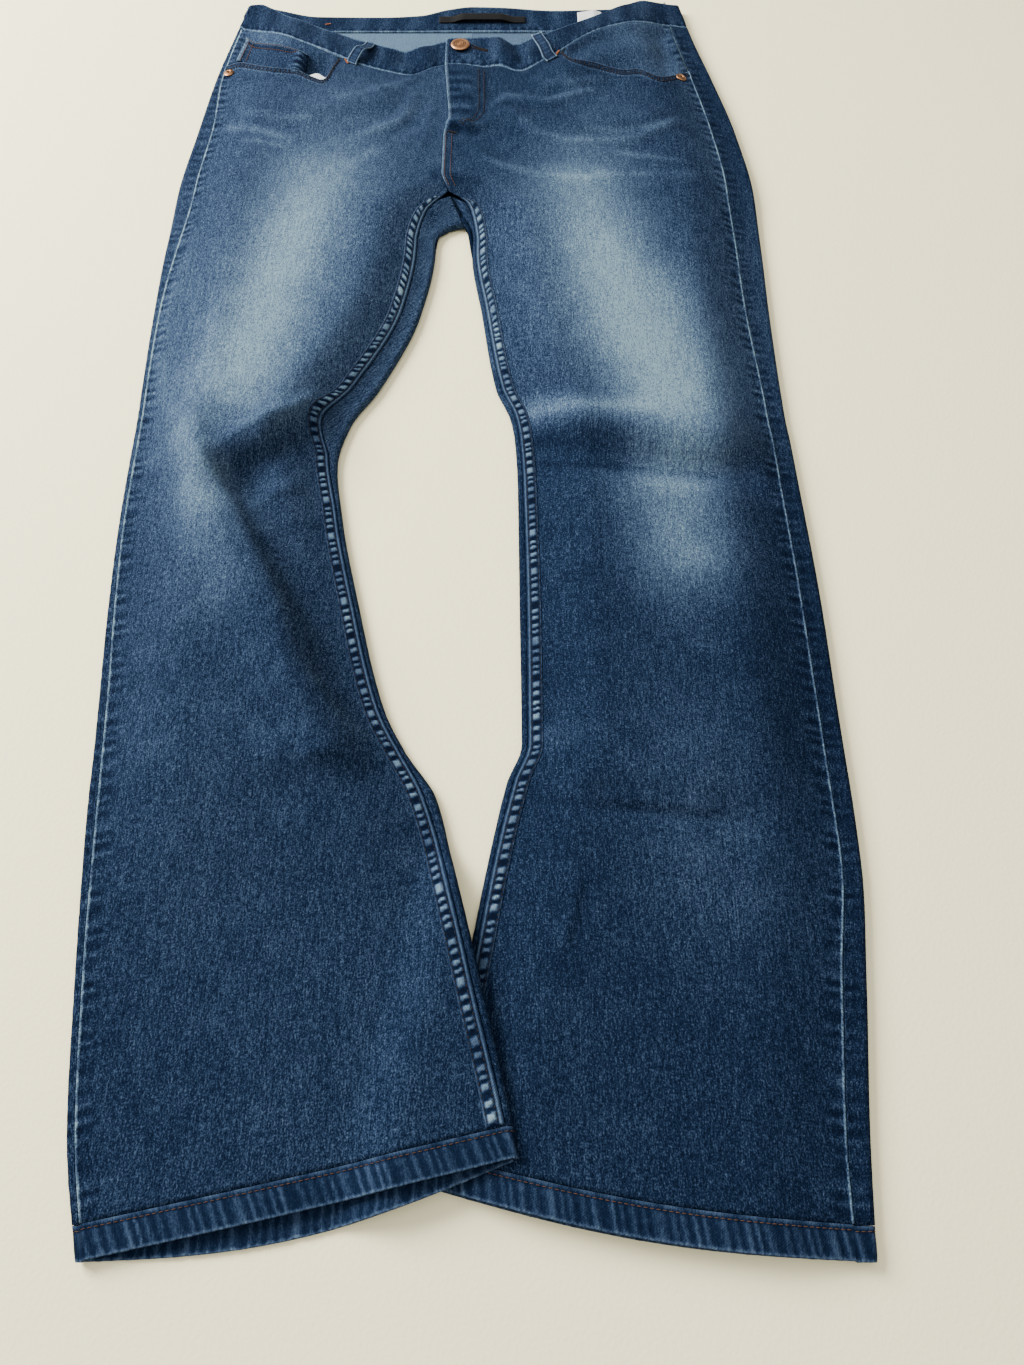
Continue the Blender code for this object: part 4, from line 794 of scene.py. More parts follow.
class Nodes:
    """Makes the nodes of one material."""

    def __init__(self, name: str) -> None:
        """Start a material that holds only its Principled shader and its output."""
        self.material = bpy.data.materials.new(name)
        self.material.use_nodes = True
        self.tree = self.material.node_tree
        self.shader = self.tree.nodes["Principled BSDF"]

    def add(self, kind: str, settings: dict[str, Any] | None = None, inputs: dict[Any, Any] | None = None,
            output: int | str = 0) -> Wire:
        """Add a node.

        Args:
            kind: the node's type.
            settings: its properties, which are set first; "stops" fills a colour ramp.
            inputs: values or links for its sockets.
            output: the socket to return.

        Returns:
            The chosen output.
        """
        node = self.tree.nodes.new(kind)
        for name, value in (settings or {}).items():
            if name == "stops":
                self._fill_ramp(node.color_ramp, value)
            else:
                setattr(node, name, value)
        for name, value in (inputs or {}).items():
            self.feed(node.inputs[name], value)
        return Wire(self, node.outputs[output])

    @staticmethod
    def _fill_ramp(ramp: Any, stops: Sequence[tuple[float, Colour]]) -> None:
        """Give a colour ramp its stops."""
        while len(ramp.elements) > 1:
            ramp.elements.remove(ramp.elements[-1])
        for number, (place, colour) in enumerate(stops):
            stop = ramp.elements[0] if number == 0 else ramp.elements.new(place)
            stop.position, stop.color = place, (*colour, 1.0)

    def feed(self, socket: Any, value: Any) -> None:
        """Link a value to a socket, or set the socket to it."""
        if isinstance(value, Wire):
            self.tree.links.new(value.socket, socket)
        elif isinstance(value, tuple) and len(value) == 3 and socket.type == "RGBA":
            socket.default_value = (*value, 1.0)
        else:
            socket.default_value = value

    def painted(self, name: str, output: str = "Fac") -> Wire:
        """Return a value that is painted on the mesh."""
        return self.add("ShaderNodeAttribute", {"attribute_name": name}, {}, output)

    def scaled(self, vector: Wire, scale: tuple[float, ...]) -> Wire:
        """Return a vector scaled along its axes."""
        return self.add("ShaderNodeVectorMath", {"operation": "MULTIPLY"}, {0: vector, 1: scale})

    def parts(self, vector: Wire) -> tuple[Wire, Wire, Wire]:
        """Return a vector's three numbers."""
        node = self.tree.nodes.new("ShaderNodeSeparateXYZ")
        self.feed(node.inputs[0], vector)
        return tuple(Wire(self, socket) for socket in node.outputs)

    def noise(self, vector: Wire, scale: tuple[float, ...], detail: float = 2.0, rough: float = 0.5) -> Wire:
        """Return noise between 0 and 1 whose grains are 1 long on the scaled vector.

        Args:
            vector: the place that it is read at, in metres.
            scale: grains in a metre along x, y and z.
            detail: how many finer layers it has.
            rough: how strong these are.

        Returns:
            The noise.
        """
        return self.add("ShaderNodeTexNoise", {}, {"Vector": self.scaled(vector, scale), "Scale": 1.0,
                                                   "Detail": detail, "Roughness": rough}, "Fac")

    def place(self) -> Wire:
        """Return the place of the shaded point in the scene."""
        return self.add("ShaderNodeNewGeometry", {}, {}, "Position")

    def swell(self, place: Wire, detail: float) -> Wire:
        """Return noise along a line, between 0 and 1."""
        return self.add("ShaderNodeTexNoise", {"noise_dimensions": "1D"},
                        {"W": place, "Scale": 1.0, "Detail": detail}, "Fac")

    def blend(self, share: Wire, first: Colour, second: Colour) -> Wire:
        """Return a mix of two colours."""
        node = self.tree.nodes.new("ShaderNodeMix")
        node.data_type = "RGBA"
        for name, value in (("Factor_Float", share), ("A_Color", first), ("B_Color", second)):
            self.feed(next(item for item in node.inputs if item.identifier == name), value)
        return Wire(self, next(item for item in node.outputs if item.identifier == "Result_Color"))

    def bump(self, height: Wire, depth: float) -> None:
        """Feed the shader's Normal from a height between 0 and 1 of a depth in metres."""
        self.feed(self.shader.inputs["Normal"],
                  self.add("ShaderNodeBump", {}, {"Strength": 1.0, "Distance": depth, "Height": height}))

    def surface(self, **inputs: Any) -> bpy.types.Material:
        """Feed the Principled shader and return the finished material."""
        for name, value in inputs.items():
            self.feed(self.shader.inputs[name.replace("_", " ")], value)
        return self.material


@dataclass(frozen=True)
class Denim:
    """Washed indigo twill whose tone runs from unworn to worn through.

    Its meshes carry "cloth", the place on the cloth in metres; "wear", how worn it is,
    lowered where shade is painted into hollows and creases; "crest", from -1 in a groove to 1 on a
    rib; and "seam", the place along the leg and the distances from its outer and inner seams in
    centimetres.
    """

    name: str
    slot: str
    tones: tuple[tuple[float, Colour], ...] = (
        (0.00, (0.0016, 0.0034, 0.0104)), (0.18, (0.0024, 0.0068, 0.0190)), (0.30, (0.0052, 0.0116, 0.0288)),
        (0.42, (0.0135, 0.0255, 0.0525)), (0.52, (0.0220, 0.0385, 0.0740)), (0.64, (0.0380, 0.0610, 0.1000)),
        (0.76, (0.0580, 0.0950, 0.1440)), (0.88, (0.0830, 0.1350, 0.1820)), (1.00, (0.1350, 0.2060, 0.2480)))
    tone: float = 0.0
    streaks: float = 0.90
    clouds: float = 0.16
    specks: float = 1.20
    # strength of the painted shade between the seams' puckers and of the worn dashes on them
    puckers: float = 0.0
    lip: float = 0.0
    # row in metres beyond which painted shade darkens the cloth, where it lies deep inside the legs
    painted_shade_from: float | None = None
    twill_pitch: float = 0.0013
    pucker_pitch: float = 0.95
    knot_pitch: float = 0.62
    depth: float = 0.00030

    def make(self) -> bpy.types.Material:
        """Return the cloth's material."""
        nodes = Nodes(self.name)
        cloth = nodes.painted("cloth", "Vector")
        u, v, _ = nodes.parts(cloth)
        streak = nodes.noise(cloth, (1050.0, 310.0, 1.0), 2.0, 0.6)
        slub = nodes.noise(cloth, (420.0, 55.0, 1.0), 2.0, 0.55)
        grain = nodes.noise(cloth, (1250.0, 980.0, 1.0), 2.0, 0.65)
        cloud = nodes.noise(cloth, (60.0, 42.0, 1.0), 3.0, 0.55)
        drift = nodes.noise(cloth, (9.0, 6.0, 1.0), 2.0, 0.5)
        twill = ((u * 0.8 + v) * (2 * math.pi / self.twill_pitch)).sine()
        crest = nodes.painted("crest")
        tone = (nodes.painted("wear") + self.tone + (streak - 0.5) * self.streaks
                + (slub - 0.5) * (self.streaks * 0.42) + (grain - 0.5) * self.specks
                + (cloud - 0.5) * self.clouds + (drift - 0.5) * (self.clouds * 0.8)
                + crest * 0.20 + twill * 0.010)
        # painted shade: beyond that row the wrong side is darkened, as it lies deep inside the legs
        if self.painted_shade_from is not None:
            tone = tone - (1.0 - v.step(-self.painted_shade_from - 0.04, -self.painted_shade_from)) * 0.60
        height = twill * 0.10 + grain * 0.4 + streak * 0.5 + cloud * 0.3
        if self.puckers:
            # painted shade of the puckers beside the seams, with lighter worn dashes between them
            pucker_wear_and_shade, lip = self._pucker_shade_and_wear(nodes)
            tone = tone + pucker_wear_and_shade * self.puckers + lip * self.lip
            height = height + pucker_wear_and_shade * 0.6
        colour = nodes.add("ShaderNodeValToRGB", {"stops": self.tones}, {"Fac": tone.clamped()}, "Color")
        nodes.bump(height, self.depth)
        return nodes.surface(Base_Color=colour, Roughness=0.88, Specular_IOR_Level=0.02)

    def _pucker_shade_and_wear(self, nodes: Nodes) -> tuple[Wire, Wire]:
        """Return the painted shade and lighter worn dashes of the puckers beside the leg's seams, and the
        worn seam edges.
        """
        row, outer, inner = nodes.parts(nodes.painted("seam", "Vector"))
        shift, size = nodes.swell(row * 0.45, 1.0), nodes.swell(row * 0.60 + 40.0, 2.0)
        wave = (row * (2 * math.pi / self.pucker_pitch) + shift * 8.0 + outer * 0.5).sine()
        reach = (1.0 - outer.step(0.45, 1.35)) * outer.step(0.04, 0.16) * (size.step(0.25, 0.70) + 0.25)
        knots = (row * (2 * math.pi / self.knot_pitch) + shift * 6.0 - inner * 1.2).sine()
        near = (1.0 - inner.step(0.05, 0.45)) * size.step(0.3, 0.65)
        lip = (1.0 - outer.step(0.09, 0.18)) * (size.step(0.30, 0.60) * 0.45 + 0.55)
        return (wave - 0.35) * reach + knots * near * 0.5, lip


@dataclass(frozen=True)
class PlainCloth:
    """A plain-woven cloth or tape in one colour with a light unevenness."""

    name: str
    slot: str
    colour: Colour
    shade: Colour
    pitch: float = 0.0007
    gloss: float = 0.9

    def make(self) -> bpy.types.Material:
        """Return the cloth's material."""
        nodes = Nodes(self.name)
        cloth = nodes.painted("cloth", "Vector")
        u, v, _ = nodes.parts(cloth)
        turn = 2 * math.pi / self.pitch
        weave = (u * turn).sine() * (v * turn).sine()
        cloud = nodes.noise(cloth, (120.0, 120.0, 1.0), 3.0)
        share = (cloud + weave * 0.10).clamped()
        nodes.bump(weave * 0.4 + cloud, 0.0002)
        return nodes.surface(Base_Color=nodes.blend(share, self.shade, self.colour), Roughness=self.gloss,
                             Specular_IOR_Level=0.08)


@dataclass(frozen=True)
class Thread:
    """Twisted sewing thread."""

    name: str
    slot: str
    colour: Colour
    shade: Colour

    def make(self) -> bpy.types.Material:
        """Return the thread's material."""
        nodes = Nodes(self.name)
        place = nodes.place()
        worn = nodes.noise(place, (700.0, 700.0, 700.0), 2.0)
        long = nodes.noise(place, (25.0, 25.0, 25.0), 2.0)
        share = (worn * 0.6 + long * 0.8 - 0.2).clamped()
        nodes.bump(worn, 0.00015)
        return nodes.surface(Base_Color=nodes.blend(share, self.shade, self.colour), Roughness=0.8,
                             Specular_IOR_Level=0.06)


@dataclass(frozen=True)
class Metal:
    """Plated or bare metal, rubbed bright on its ribs and darker in its grooves."""

    name: str
    slot: str
    colour: Colour
    shade: Colour
    gloss: float = 0.3

    def make(self) -> bpy.types.Material:
        """Return the metal's material."""
        nodes = Nodes(self.name)
        place = nodes.place()
        stain = nodes.noise(place, (420.0, 420.0, 420.0), 4.0, 0.6)
        share = (nodes.painted("crest") * 0.55 + stain * 0.5 + 0.22).clamped()
        nodes.bump(stain, 0.00006)
        return nodes.surface(Base_Color=nodes.blend(share, self.shade, self.colour), Metallic=1.0,
                             Roughness=stain * 0.25 + self.gloss)


@dataclass(frozen=True)
class Paper:
    """The pale surface that the jeans lie on."""

    name: str = "pale_surface"
    colour: Colour = (0.90, 0.835, 0.54)
    shade: Colour = (0.85, 0.785, 0.50)

    def make(self) -> bpy.types.Material:
        """Return the surface's material."""
        nodes = Nodes(self.name)
        place = nodes.place()
        cloud = nodes.noise(place, (2.2, 2.2, 2.2), 3.0)
        tooth = nodes.noise(place, (380.0, 380.0, 380.0), 2.0)
        nodes.bump(tooth, 0.0002)
        return nodes.surface(Base_Color=nodes.blend(cloud, self.shade, self.colour), Roughness=0.8)


DENIM = Denim("washed_twill", "denim", puckers=0.13, lip=0.52)
DENIM_BACK = Denim("dark_twill", "denim_back", puckers=0.09, lip=0.05)
DENIM_PLAIN = Denim("band_twill", "denim", tone=0.27)
DENIM_SEAM = Denim("felled_twill", "seam_denim", tone=0.32, streaks=0.45, specks=0.45)
# its wrong side carries painted shade beyond 20 cm down from the waist
DENIM_INSIDE = Denim("twill_wrong_side", "denim_back", tone=0.43, streaks=0.25, clouds=0.10, specks=0.30,
                     painted_shade_from=0.20)
POCKET_WHITE = PlainCloth("bag_cotton", "pocket_white", (0.70, 0.73, 0.70), (0.46, 0.51, 0.52))
BLACK_TAPE = PlainCloth("woven_tape", "black_tape", (0.0065, 0.0065, 0.0075), (0.003, 0.003, 0.0035),
                        0.0011, 0.6)
BROWN_THREAD = Thread("brown_thread", "seam_denim", (0.105, 0.048, 0.022), (0.022, 0.018, 0.018))
ORANGE_THREAD = Thread("orange_thread", "seam_denim", (0.30, 0.10, 0.030), (0.10, 0.035, 0.015))
DARK_THREAD = Thread("dark_thread", "seam_denim", (0.034, 0.024, 0.018), (0.006, 0.006, 0.008))
BLUE_THREAD = Thread("blue_thread", "seam_denim", (0.060, 0.085, 0.115), (0.012, 0.020, 0.036))
BRASS_TEETH = Thread("brass_teeth", "brass", (0.72, 0.56, 0.30), (0.34, 0.25, 0.12))
COPPER = Metal("copper_plate", "copper", (0.50, 0.25, 0.12), (0.030, 0.011, 0.006), 0.30)
BRASS = Metal("zip_brass", "brass", (0.60, 0.44, 0.20), (0.20, 0.13, 0.05), 0.3)

Finish = Denim | PlainCloth | Thread | Metal | Paper


@cache
def material(finish: Finish) -> bpy.types.Material:
    """Return a finish's material, made once."""
    return finish.make()


# --------------------------------------------------------------------------- meshes


@dataclass
class Cloth:
    """A grid of points in centimetres, row by row, with the values that its finish reads."""

    points: Numbers
    place: Numbers | None = None
    wear: Any = 0.0
    crest: Any = 0.0
    seam: Numbers | None = None
    ring: bool = False

    def own_place(self) -> Numbers:
        """Return each point's place on the cloth, across and down, in centimetres."""
        if self.place is not None:
            return self.place
        across = along(self.points)
        down = along(np.swapaxes(self.points, 0, 1)).T
        return np.stack((across - across.mean(axis=1, keepdims=True), down), axis=-1)


@dataclass(frozen=True)
class Cut:
    """The flat piece that a sheet was cut to, in metres and square metres."""

    width: float
    length: float
    area: float | None = None
    held: Held = Held.LAID


def metres(points: Numbers) -> Numbers:
    """Return points in centimetres on the tables as places in the model, in metres."""
    return (points + np.array((*PLACE, 0.0))) * CM


def new_object(name: str, points: Numbers, faces: list[list[int]], finish: Finish) -> bpy.types.Object:
    """Make an object from points in metres and faces, and link it to the scene."""
    mesh = bpy.data.meshes.new(name)
    mesh.from_pydata(points.reshape(-1, 3).tolist(), [], faces)
    mesh.materials.append(material(finish))
    mesh.shade_smooth()
    piece = bpy.data.objects.new(name, mesh)
    bpy.context.scene.collection.objects.link(piece)
    return piece


def paint(mesh: bpy.types.Mesh, name: str, values: Any, size: int = 1) -> None:
    """Write a value for each of the mesh's points as an attribute."""
    kind, label = ("FLOAT_VECTOR", "vector") if size == 3 else ("FLOAT", "value")
    full = np.ascontiguousarray(values, np.float32).ravel()
    mesh.attributes.new(name, kind, "POINT").data.foreach_set(label, full)


def grid_faces(rows: int, columns: int, ring: bool) -> Numbers:
    """Return the faces of a grid; a ring's last column joins its first."""
    last = columns if ring else columns - 1
    down, across = np.divmod(np.arange((rows - 1) * last), last)
    here, below, right = down * columns, (down + 1) * columns, (across + 1) % columns
    return np.stack((here + across, below + across, below + right, here + right), axis=-1)


def seat(piece: bpy.types.Object, slot: str, *nodes: str) -> None:
    """Let a piece ride with the jeans and hide the solids that it stands for."""
    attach(piece, BODY)
    if nodes:
        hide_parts(*nodes)
    log.info("%s: %d points", piece.name, len(piece.data.vertices))


def lay(name: str, cloth: Cloth, wall: float, finish: Finish, rests_on: list[str],
        facing: Facing = Facing.UP, inside: Finish | None = None, slot: str | None = None) -> None:
    """Make a sheet of cloth with its wall behind its points, and seat it in place of its solid.

    Args:
        name: the solid's name.
        cloth: its grid and painted values.
        wall: its thickness in centimetres.
        finish: what its right side is finished in.
        rests_on: the solids that carry it; not used.
        facing: which way its right side looks.
        inside: another finish for the wrong side.
        slot: its solid's slot, where that isn't the finish's own.
    """
    shape = cloth.points.shape[:2]
    kept = slice(None, -1 if cloth.ring else None)
    points = cloth.points[:, kept]
    faces = grid_faces(*points.shape[:2], cloth.ring)
    flat = points.reshape(-1, 3)
    corners = flat[faces]
    normals = np.cross(corners[:, 2] - corners[:, 0], corners[:, 3] - corners[:, 1])
    if facing is Facing.OUT:
        way = np.einsum("ij,ij", normals, corners.mean(axis=1) - flat.mean(axis=0))
    else:
        way = normals[:, 2].sum() * facing.value
    piece = new_object(name + "_cloth", metres(flat), (faces if way > 0 else faces[:, ::-1]).tolist(), finish)
    log.info("%s: %.4f square metres", name, np.linalg.norm(normals, axis=1).sum() / 2 * CM ** 2)
    mesh = piece.data
    for label, value in (("wear", cloth.wear), ("crest", cloth.crest)):
        paint(mesh, label, np.broadcast_to(value, shape)[:, kept])
    place = cloth.own_place()[:, kept] * CM
    paint(mesh, "cloth", np.concatenate((place, np.zeros(place.shape[:2] + (1,))), axis=-1), 3)
    paint(mesh, "seam", np.full(flat.shape, FAR) if cloth.seam is None else cloth.seam, 3)
    thick = piece.modifiers.new("wall", "SOLIDIFY")
    thick.thickness, thick.offset = wall * CM, -1.0
    if inside:
        mesh.materials.append(material(inside))
        thick.material_offset = 1
    seat(piece, slot or finish.slot, name)


@dataclass
class Stitches:
    """Rows of stitches that are joined into one mesh: each is a short thread with tapered ends."""

    name: str
    finish: Thread
    pitch: float = 0.33
    length: float = 0.25
    radius: float = 0.030
    sides: int = 6
    points: list[Numbers] = field(default_factory=list)
    faces: list[Numbers] = field(default_factory=list)
    count: int = 0

    START = 0.1
    DOT = 0.001
    # place along a stitch, share of its radius, lift in radii
    SHAPE = ((-0.5, 0.0, -0.9), (-0.36, 0.75, 0.0), (0.0, 1.0, 0.35), (0.36, 0.75, 0.0), (0.5, 0.0, -0.9))

    def row(self, path: Numbers, out: Numbers | None = None) -> None:
        """Sew along a path of points in centimetres; out gives the cloth's own direction there."""
        places = along(path)
        middles = np.arange(self.START, places[-1] - 0.5 * self.length, self.pitch)
        way = unit(between(middles + 0.1, places, path) - between(middles - 0.1, places, path))
        normal = between(middles, places, np.broadcast_to(UP, path.shape) if out is None else out)
        normal = unit(normal - way * np.einsum("ij,ij->i", normal, way)[:, None])
        self._add(between(middles, places, path), way, normal, np.cross(way, normal))

    def bar(self, middle: Numbers, way: Point, length: float, width: float, number: int) -> None:
        """Sew a bartack: a dense block of stitches across its length.

        Args:
            middle: its centre, in centimetres.
            way: the direction of its length on the cloth.
            length: its length.
            width: the length of one stitch across it.
            number: how many stitches it has.
        """
        along_bar = np.array((*way, 0.0)) / math.hypot(*way)
        across_bar = np.array((-along_bar[1], along_bar[0], 0.0))
        here = np.asarray(middle) + np.linspace(-0.5, 0.5, number)[:, None] * length * along_bar
        whole, self.length = self.length, width
        self._add(here, *(np.tile(axis, (number, 1)) for axis in (across_bar, UP, -along_bar)))
        self.length = whole

    def one(self, middle: Numbers, way: Point, width: float) -> None:
        """Sew one stitch of a width across a direction on the cloth."""
        self.bar(middle, way, self.DOT, width, 1)

    def _add(self, here: Numbers, way: Numbers, normal: Numbers, across: Numbers) -> None:
        """Add one stitch at each place."""
        angles = np.linspace(0, 2 * math.pi, self.sides, endpoint=False)[None, :, None]
        round_it = np.cos(angles) * across[:, None] + np.sin(angles) * normal[:, None]
        rings = []
        for place, thick, lift in self.SHAPE:
            centre = (here + way * place * self.length + normal * lift * self.radius)[:, None]
            rings.append(centre + round_it * thick * self.radius if thick else centre)
        self.points.append(np.concatenate(rings, axis=1).reshape(-1, 3))
        n, middles = self.sides, len(self.SHAPE) - 2
        turn, last = np.arange(n), 1 + n * middles
        after = (turn + 1) % n
        faces = [np.stack((np.zeros(n, int), 1 + turn, 1 + after), axis=-1),
                 np.stack((np.full(n, last), last - n + after, last - n + turn), axis=-1)]
        for ring_number in range(middles - 1):
            base = 1 + ring_number * n
            faces += [np.stack((base + turn, base + n + turn, base + n + after), axis=-1),
                      np.stack((base + turn, base + n + after, base + after), axis=-1)]
        each = 2 + n * middles
        many = np.concatenate(faces) + (np.arange(len(here)) * each)[:, None, None] + self.count
        self.faces.append(many.reshape(-1, 3))
        self.count += each * len(here)

    def build(self) -> None:
        """Make the stitches' mesh and seat it on the jeans."""
        points, faces = metres(np.concatenate(self.points)), np.concatenate(self.faces).tolist()
        seat(new_object(self.name, points, faces, self.finish), self.finish.slot)


def out_of(leg: Leg, points: Numbers) -> Numbers:
    """Return the direction out of a leg's upper skin at points."""
    step = 0.06
    x, y = points[:, 0], points[:, 1]
    slope_x = (leg.upper(x + step, y) - leg.upper(x - step, y)) / (2 * step)
    slope_y = (leg.upper(x, y + step) - leg.upper(x, y - step)) / (2 * step)
    return unit(np.stack((-slope_x, -slope_y, np.ones_like(x)), axis=-1))


def worn_and_shaded(leg: Leg, x: Numbers, y: Numbers) -> Numbers:
    """Return how worn a leg's upper side is at points, with its painted shade: its wash, broad fades, light
    worn lines and the painted shade of its darker lines.
    """
    left = 1.0
    for fade in leg.fades:
        left = left * (1 - relief((fade,), x, y))
    lines = sum(relief((line,), x, y) * (0.75 + 0.5 * (uneven(x + 0.4 * y, 2.6, number) - 0.5))
                for number, line in enumerate(leg.whiskers))
    return leg.wash(y) + 1 - left + 0.6 * lines


# --------------------------------------------------------------------------- pieces


@dataclass
class Panels:
    """A leg's front, back and yoke panels."""

    leg: Leg
    row_step: float = 0.26
    back_step: float = 0.45
    front_cut: Cut = Cut(0.28, 1.02, 0.190)
    back_cut: Cut = Cut(0.31, 0.99, 0.228, Held.FOLDED)
    yoke_cut: Cut = Cut(0.25, 0.065, 0.0114, Held.FOLDED)
    pucker: float = 0.012
    back_darker: float = 0.03
    # the fly's double cloth: its width, the y of its foot, its step and its rolled edge
    fly_width: float = 3.4
    fly_foot: float = 33.3
    fly_height: float = 0.07
    fly_lip: float = 0.07

    def __post_init__(self) -> None:
        """Lay out the columns across the front."""
        near = np.array((0.0, 0.05, 0.10, 0.16, 0.24, 0.36, 0.52, 0.72, 0.95, 1.22, 1.55, 1.95)) / 25.0
        middle = np.linspace(near[-1], 1 - near[-1], 66)[1:-1]
        self.fractions = np.concatenate((near, middle, 1 - near[::-1]))

    def front_grid(self) -> tuple[Numbers, Numbers]:
        """Return the front's points and the rows that they lie on."""
        last = LENGTH - HEM_DEPTH
        rows = np.linspace(0.0, last, int(last / self.row_step))
        leg, xs, reached = self.leg, [], []
        for row in rows:
            fade = max(0.0, 1 - row / CUT_FADE) ** 2
            shift = (SEAM_GAP if row == 0.0 else 0.0) - (SEAM_GAP / 2 if row == last else 0.0)

            def row_at(x: Any, row: float = row, fade: float = fade, shift: float = shift) -> Numbers:
                """Return the row reached at x, bent round the pocket's opening."""
                return row + shift + leg.cut(x) * fade

            x = leg.bent_columns(row, self.fractions, row_at)
            xs.append(x)
            reached.append(row_at(x))
        x, at = np.stack(xs), np.stack(reached)
        return leg.front(x, at), at

    def fly_step(self, x: Numbers, y: Numbers) -> Numbers:
        """Return how far the fly's double cloth stands out of the left front."""
        if self.leg.side is Side.RIGHT:
            return np.zeros(x.shape)
        inner = x - fly_line(y)
        foot = self.fly_foot + 0.275 * np.clip(inner, 0.0, self.fly_width) ** 1.3
        across = 1 - smooth(inner, self.fly_width - 0.3, self.fly_width + 0.2)
        return self.fly_height * across * smooth(y, foot - 0.25, foot + 0.25)

    def front(self) -> None:
        """Make the front panel with its puckers, its seam edges, how worn it is and its painted shade."""
        leg = self.leg
        points, row = self.front_grid()
        x, y = points[..., 0], points[..., 1]
        across = along(points)
        outer, inner = across, across[:, -1:] - across
        wave = wavy(row, 0.92, 1.0 + leg.toward)
        reach = (1 - smooth(outer, 0.3, 1.3)) * smooth(outer, 0.02, 0.15) * (0.4 + uneven(row, 3.1, 2.0))
        lip = 0.05 * hump(outer, 0.06, 0.10)
        fly_lip = self.fly_lip * hump(inner, 0.10, 0.16) * smooth(y, FORK_JOIN[1], FORK_JOIN[1] + 1) \
            * (leg.side is Side.LEFT)
        opening = smooth(leg.cut(x), 0.2, 1.0)
        below = row - leg.cut(x)
        bound = 0.05 * (1 - smooth(below, 0.75, 0.95)) * opening
        rim = hump(below, 0.0, 0.10) + 0.5 * opening * hump(below, 0.98, 0.10)
        groove = opening * smooth(below, 0.10, 0.22) * (1 - smooth(below, 0.78, 0.90))
        points = moved(points, self.pucker * wave * reach + lip + fly_lip + self.fly_step(x, y) + bound)
        place = np.stack((x, -row), axis=-1)
        seam = np.stack((row, outer, np.where(y < FORK_JOIN[1], inner, FAR)), axis=-1)
        # lighter on the small creases' ridges, as worn cloth; darker in their troughs and in the binding's
        # groove, as painted shade; the binding's rims are worn light
        wear = worn_and_shaded(leg, x, y) + 0.05 * relief(leg.creases, x, y) + 0.42 * fly_lip / self.fly_lip \
            + 0.30 * rim - 0.05 * groove
        lay("front_" + leg.side.word, Cloth(points, place, wear, 0.0, seam), CLOTH, DENIM,
            ["back_" + leg.side.word], inside=DENIM_INSIDE)

    def back_cloth(self, rows: Numbers) -> Cloth:
        """Return the back's grid on the given rows."""
        leg = self.leg
        grid = np.stack([leg.back_row(float(row)) for row in rows])
        points, outer = grid[..., :3], grid[..., 3]
        row = np.broadcast_to(rows[:, None], outer.shape)
        inner = outer[:, -1:] - outer
        wave = wavy(row, 0.95, 3.0 + leg.toward)
        reach = (1 - smooth(outer, 0.3, 1.5)) * smooth(outer, 0.05, 0.2) * (0.3 + uneven(row, 2.7, 4.0))
        reach = reach + (1 - smooth(inner, 0.3, 1.2)) * smooth(inner, 0.05, 0.2) * 0.6 * (row > JOIN_ROW)
        x, y = points[..., 0], points[..., 1]
        folds = relief(UNDER_CREASES, x, y) * smooth(outer, 3.0, 6.0) * smooth(inner, 2.0, 5.0)
        points = moved(points + folds[..., None] * UP, -self.pucker * wave * reach)
        place = np.stack((np.where(leg.toward > 0, outer, -outer) + 40.0, -row), axis=-1)
        seam = np.stack((row, outer, np.where(row > JOIN_ROW, inner, FAR)), axis=-1)
        seat_fade = 0.10 * hump(row, 14.0, 7.0) * smooth(outer, 4.0, 10.0)
        return Cloth(points, place, leg.wash(WAIST_Y - row) - self.back_darker + seat_fade, 0.0, seam)

    def back(self) -> None:
        """Make the back panel, which wraps round both edges of the leg."""
        first, last = YOKE_SIDE + SEAM_GAP / 2, LENGTH - HEM_DEPTH - SEAM_GAP / 2
        seat_rows = np.linspace(first, FORK_ROW, int((FORK_ROW - first) / self.back_step))
        fork = np.array((28.7, 29.4, 30.1, 30.8))
        legs = np.linspace(31.4, last, int((last - 31.4) / self.back_step))
        cloth = self.back_cloth(np.concatenate((seat_rows, fork, legs)))
        lay("back_" + self.leg.side.word, cloth, CLOTH, DENIM_BACK,
            ["yoke_" + self.leg.side.word], Facing.DOWN, DENIM_INSIDE)

    def yoke(self) -> None:
        """Make the yoke between the waistband and the back."""
        cloth = self.back_cloth(np.linspace(SEAM_GAP, YOKE_SIDE - SEAM_GAP / 2, 12))
        lay("yoke_" + self.leg.side.word, cloth, CLOTH, DENIM_BACK, ["waistband"],
            Facing.DOWN, DENIM_INSIDE)


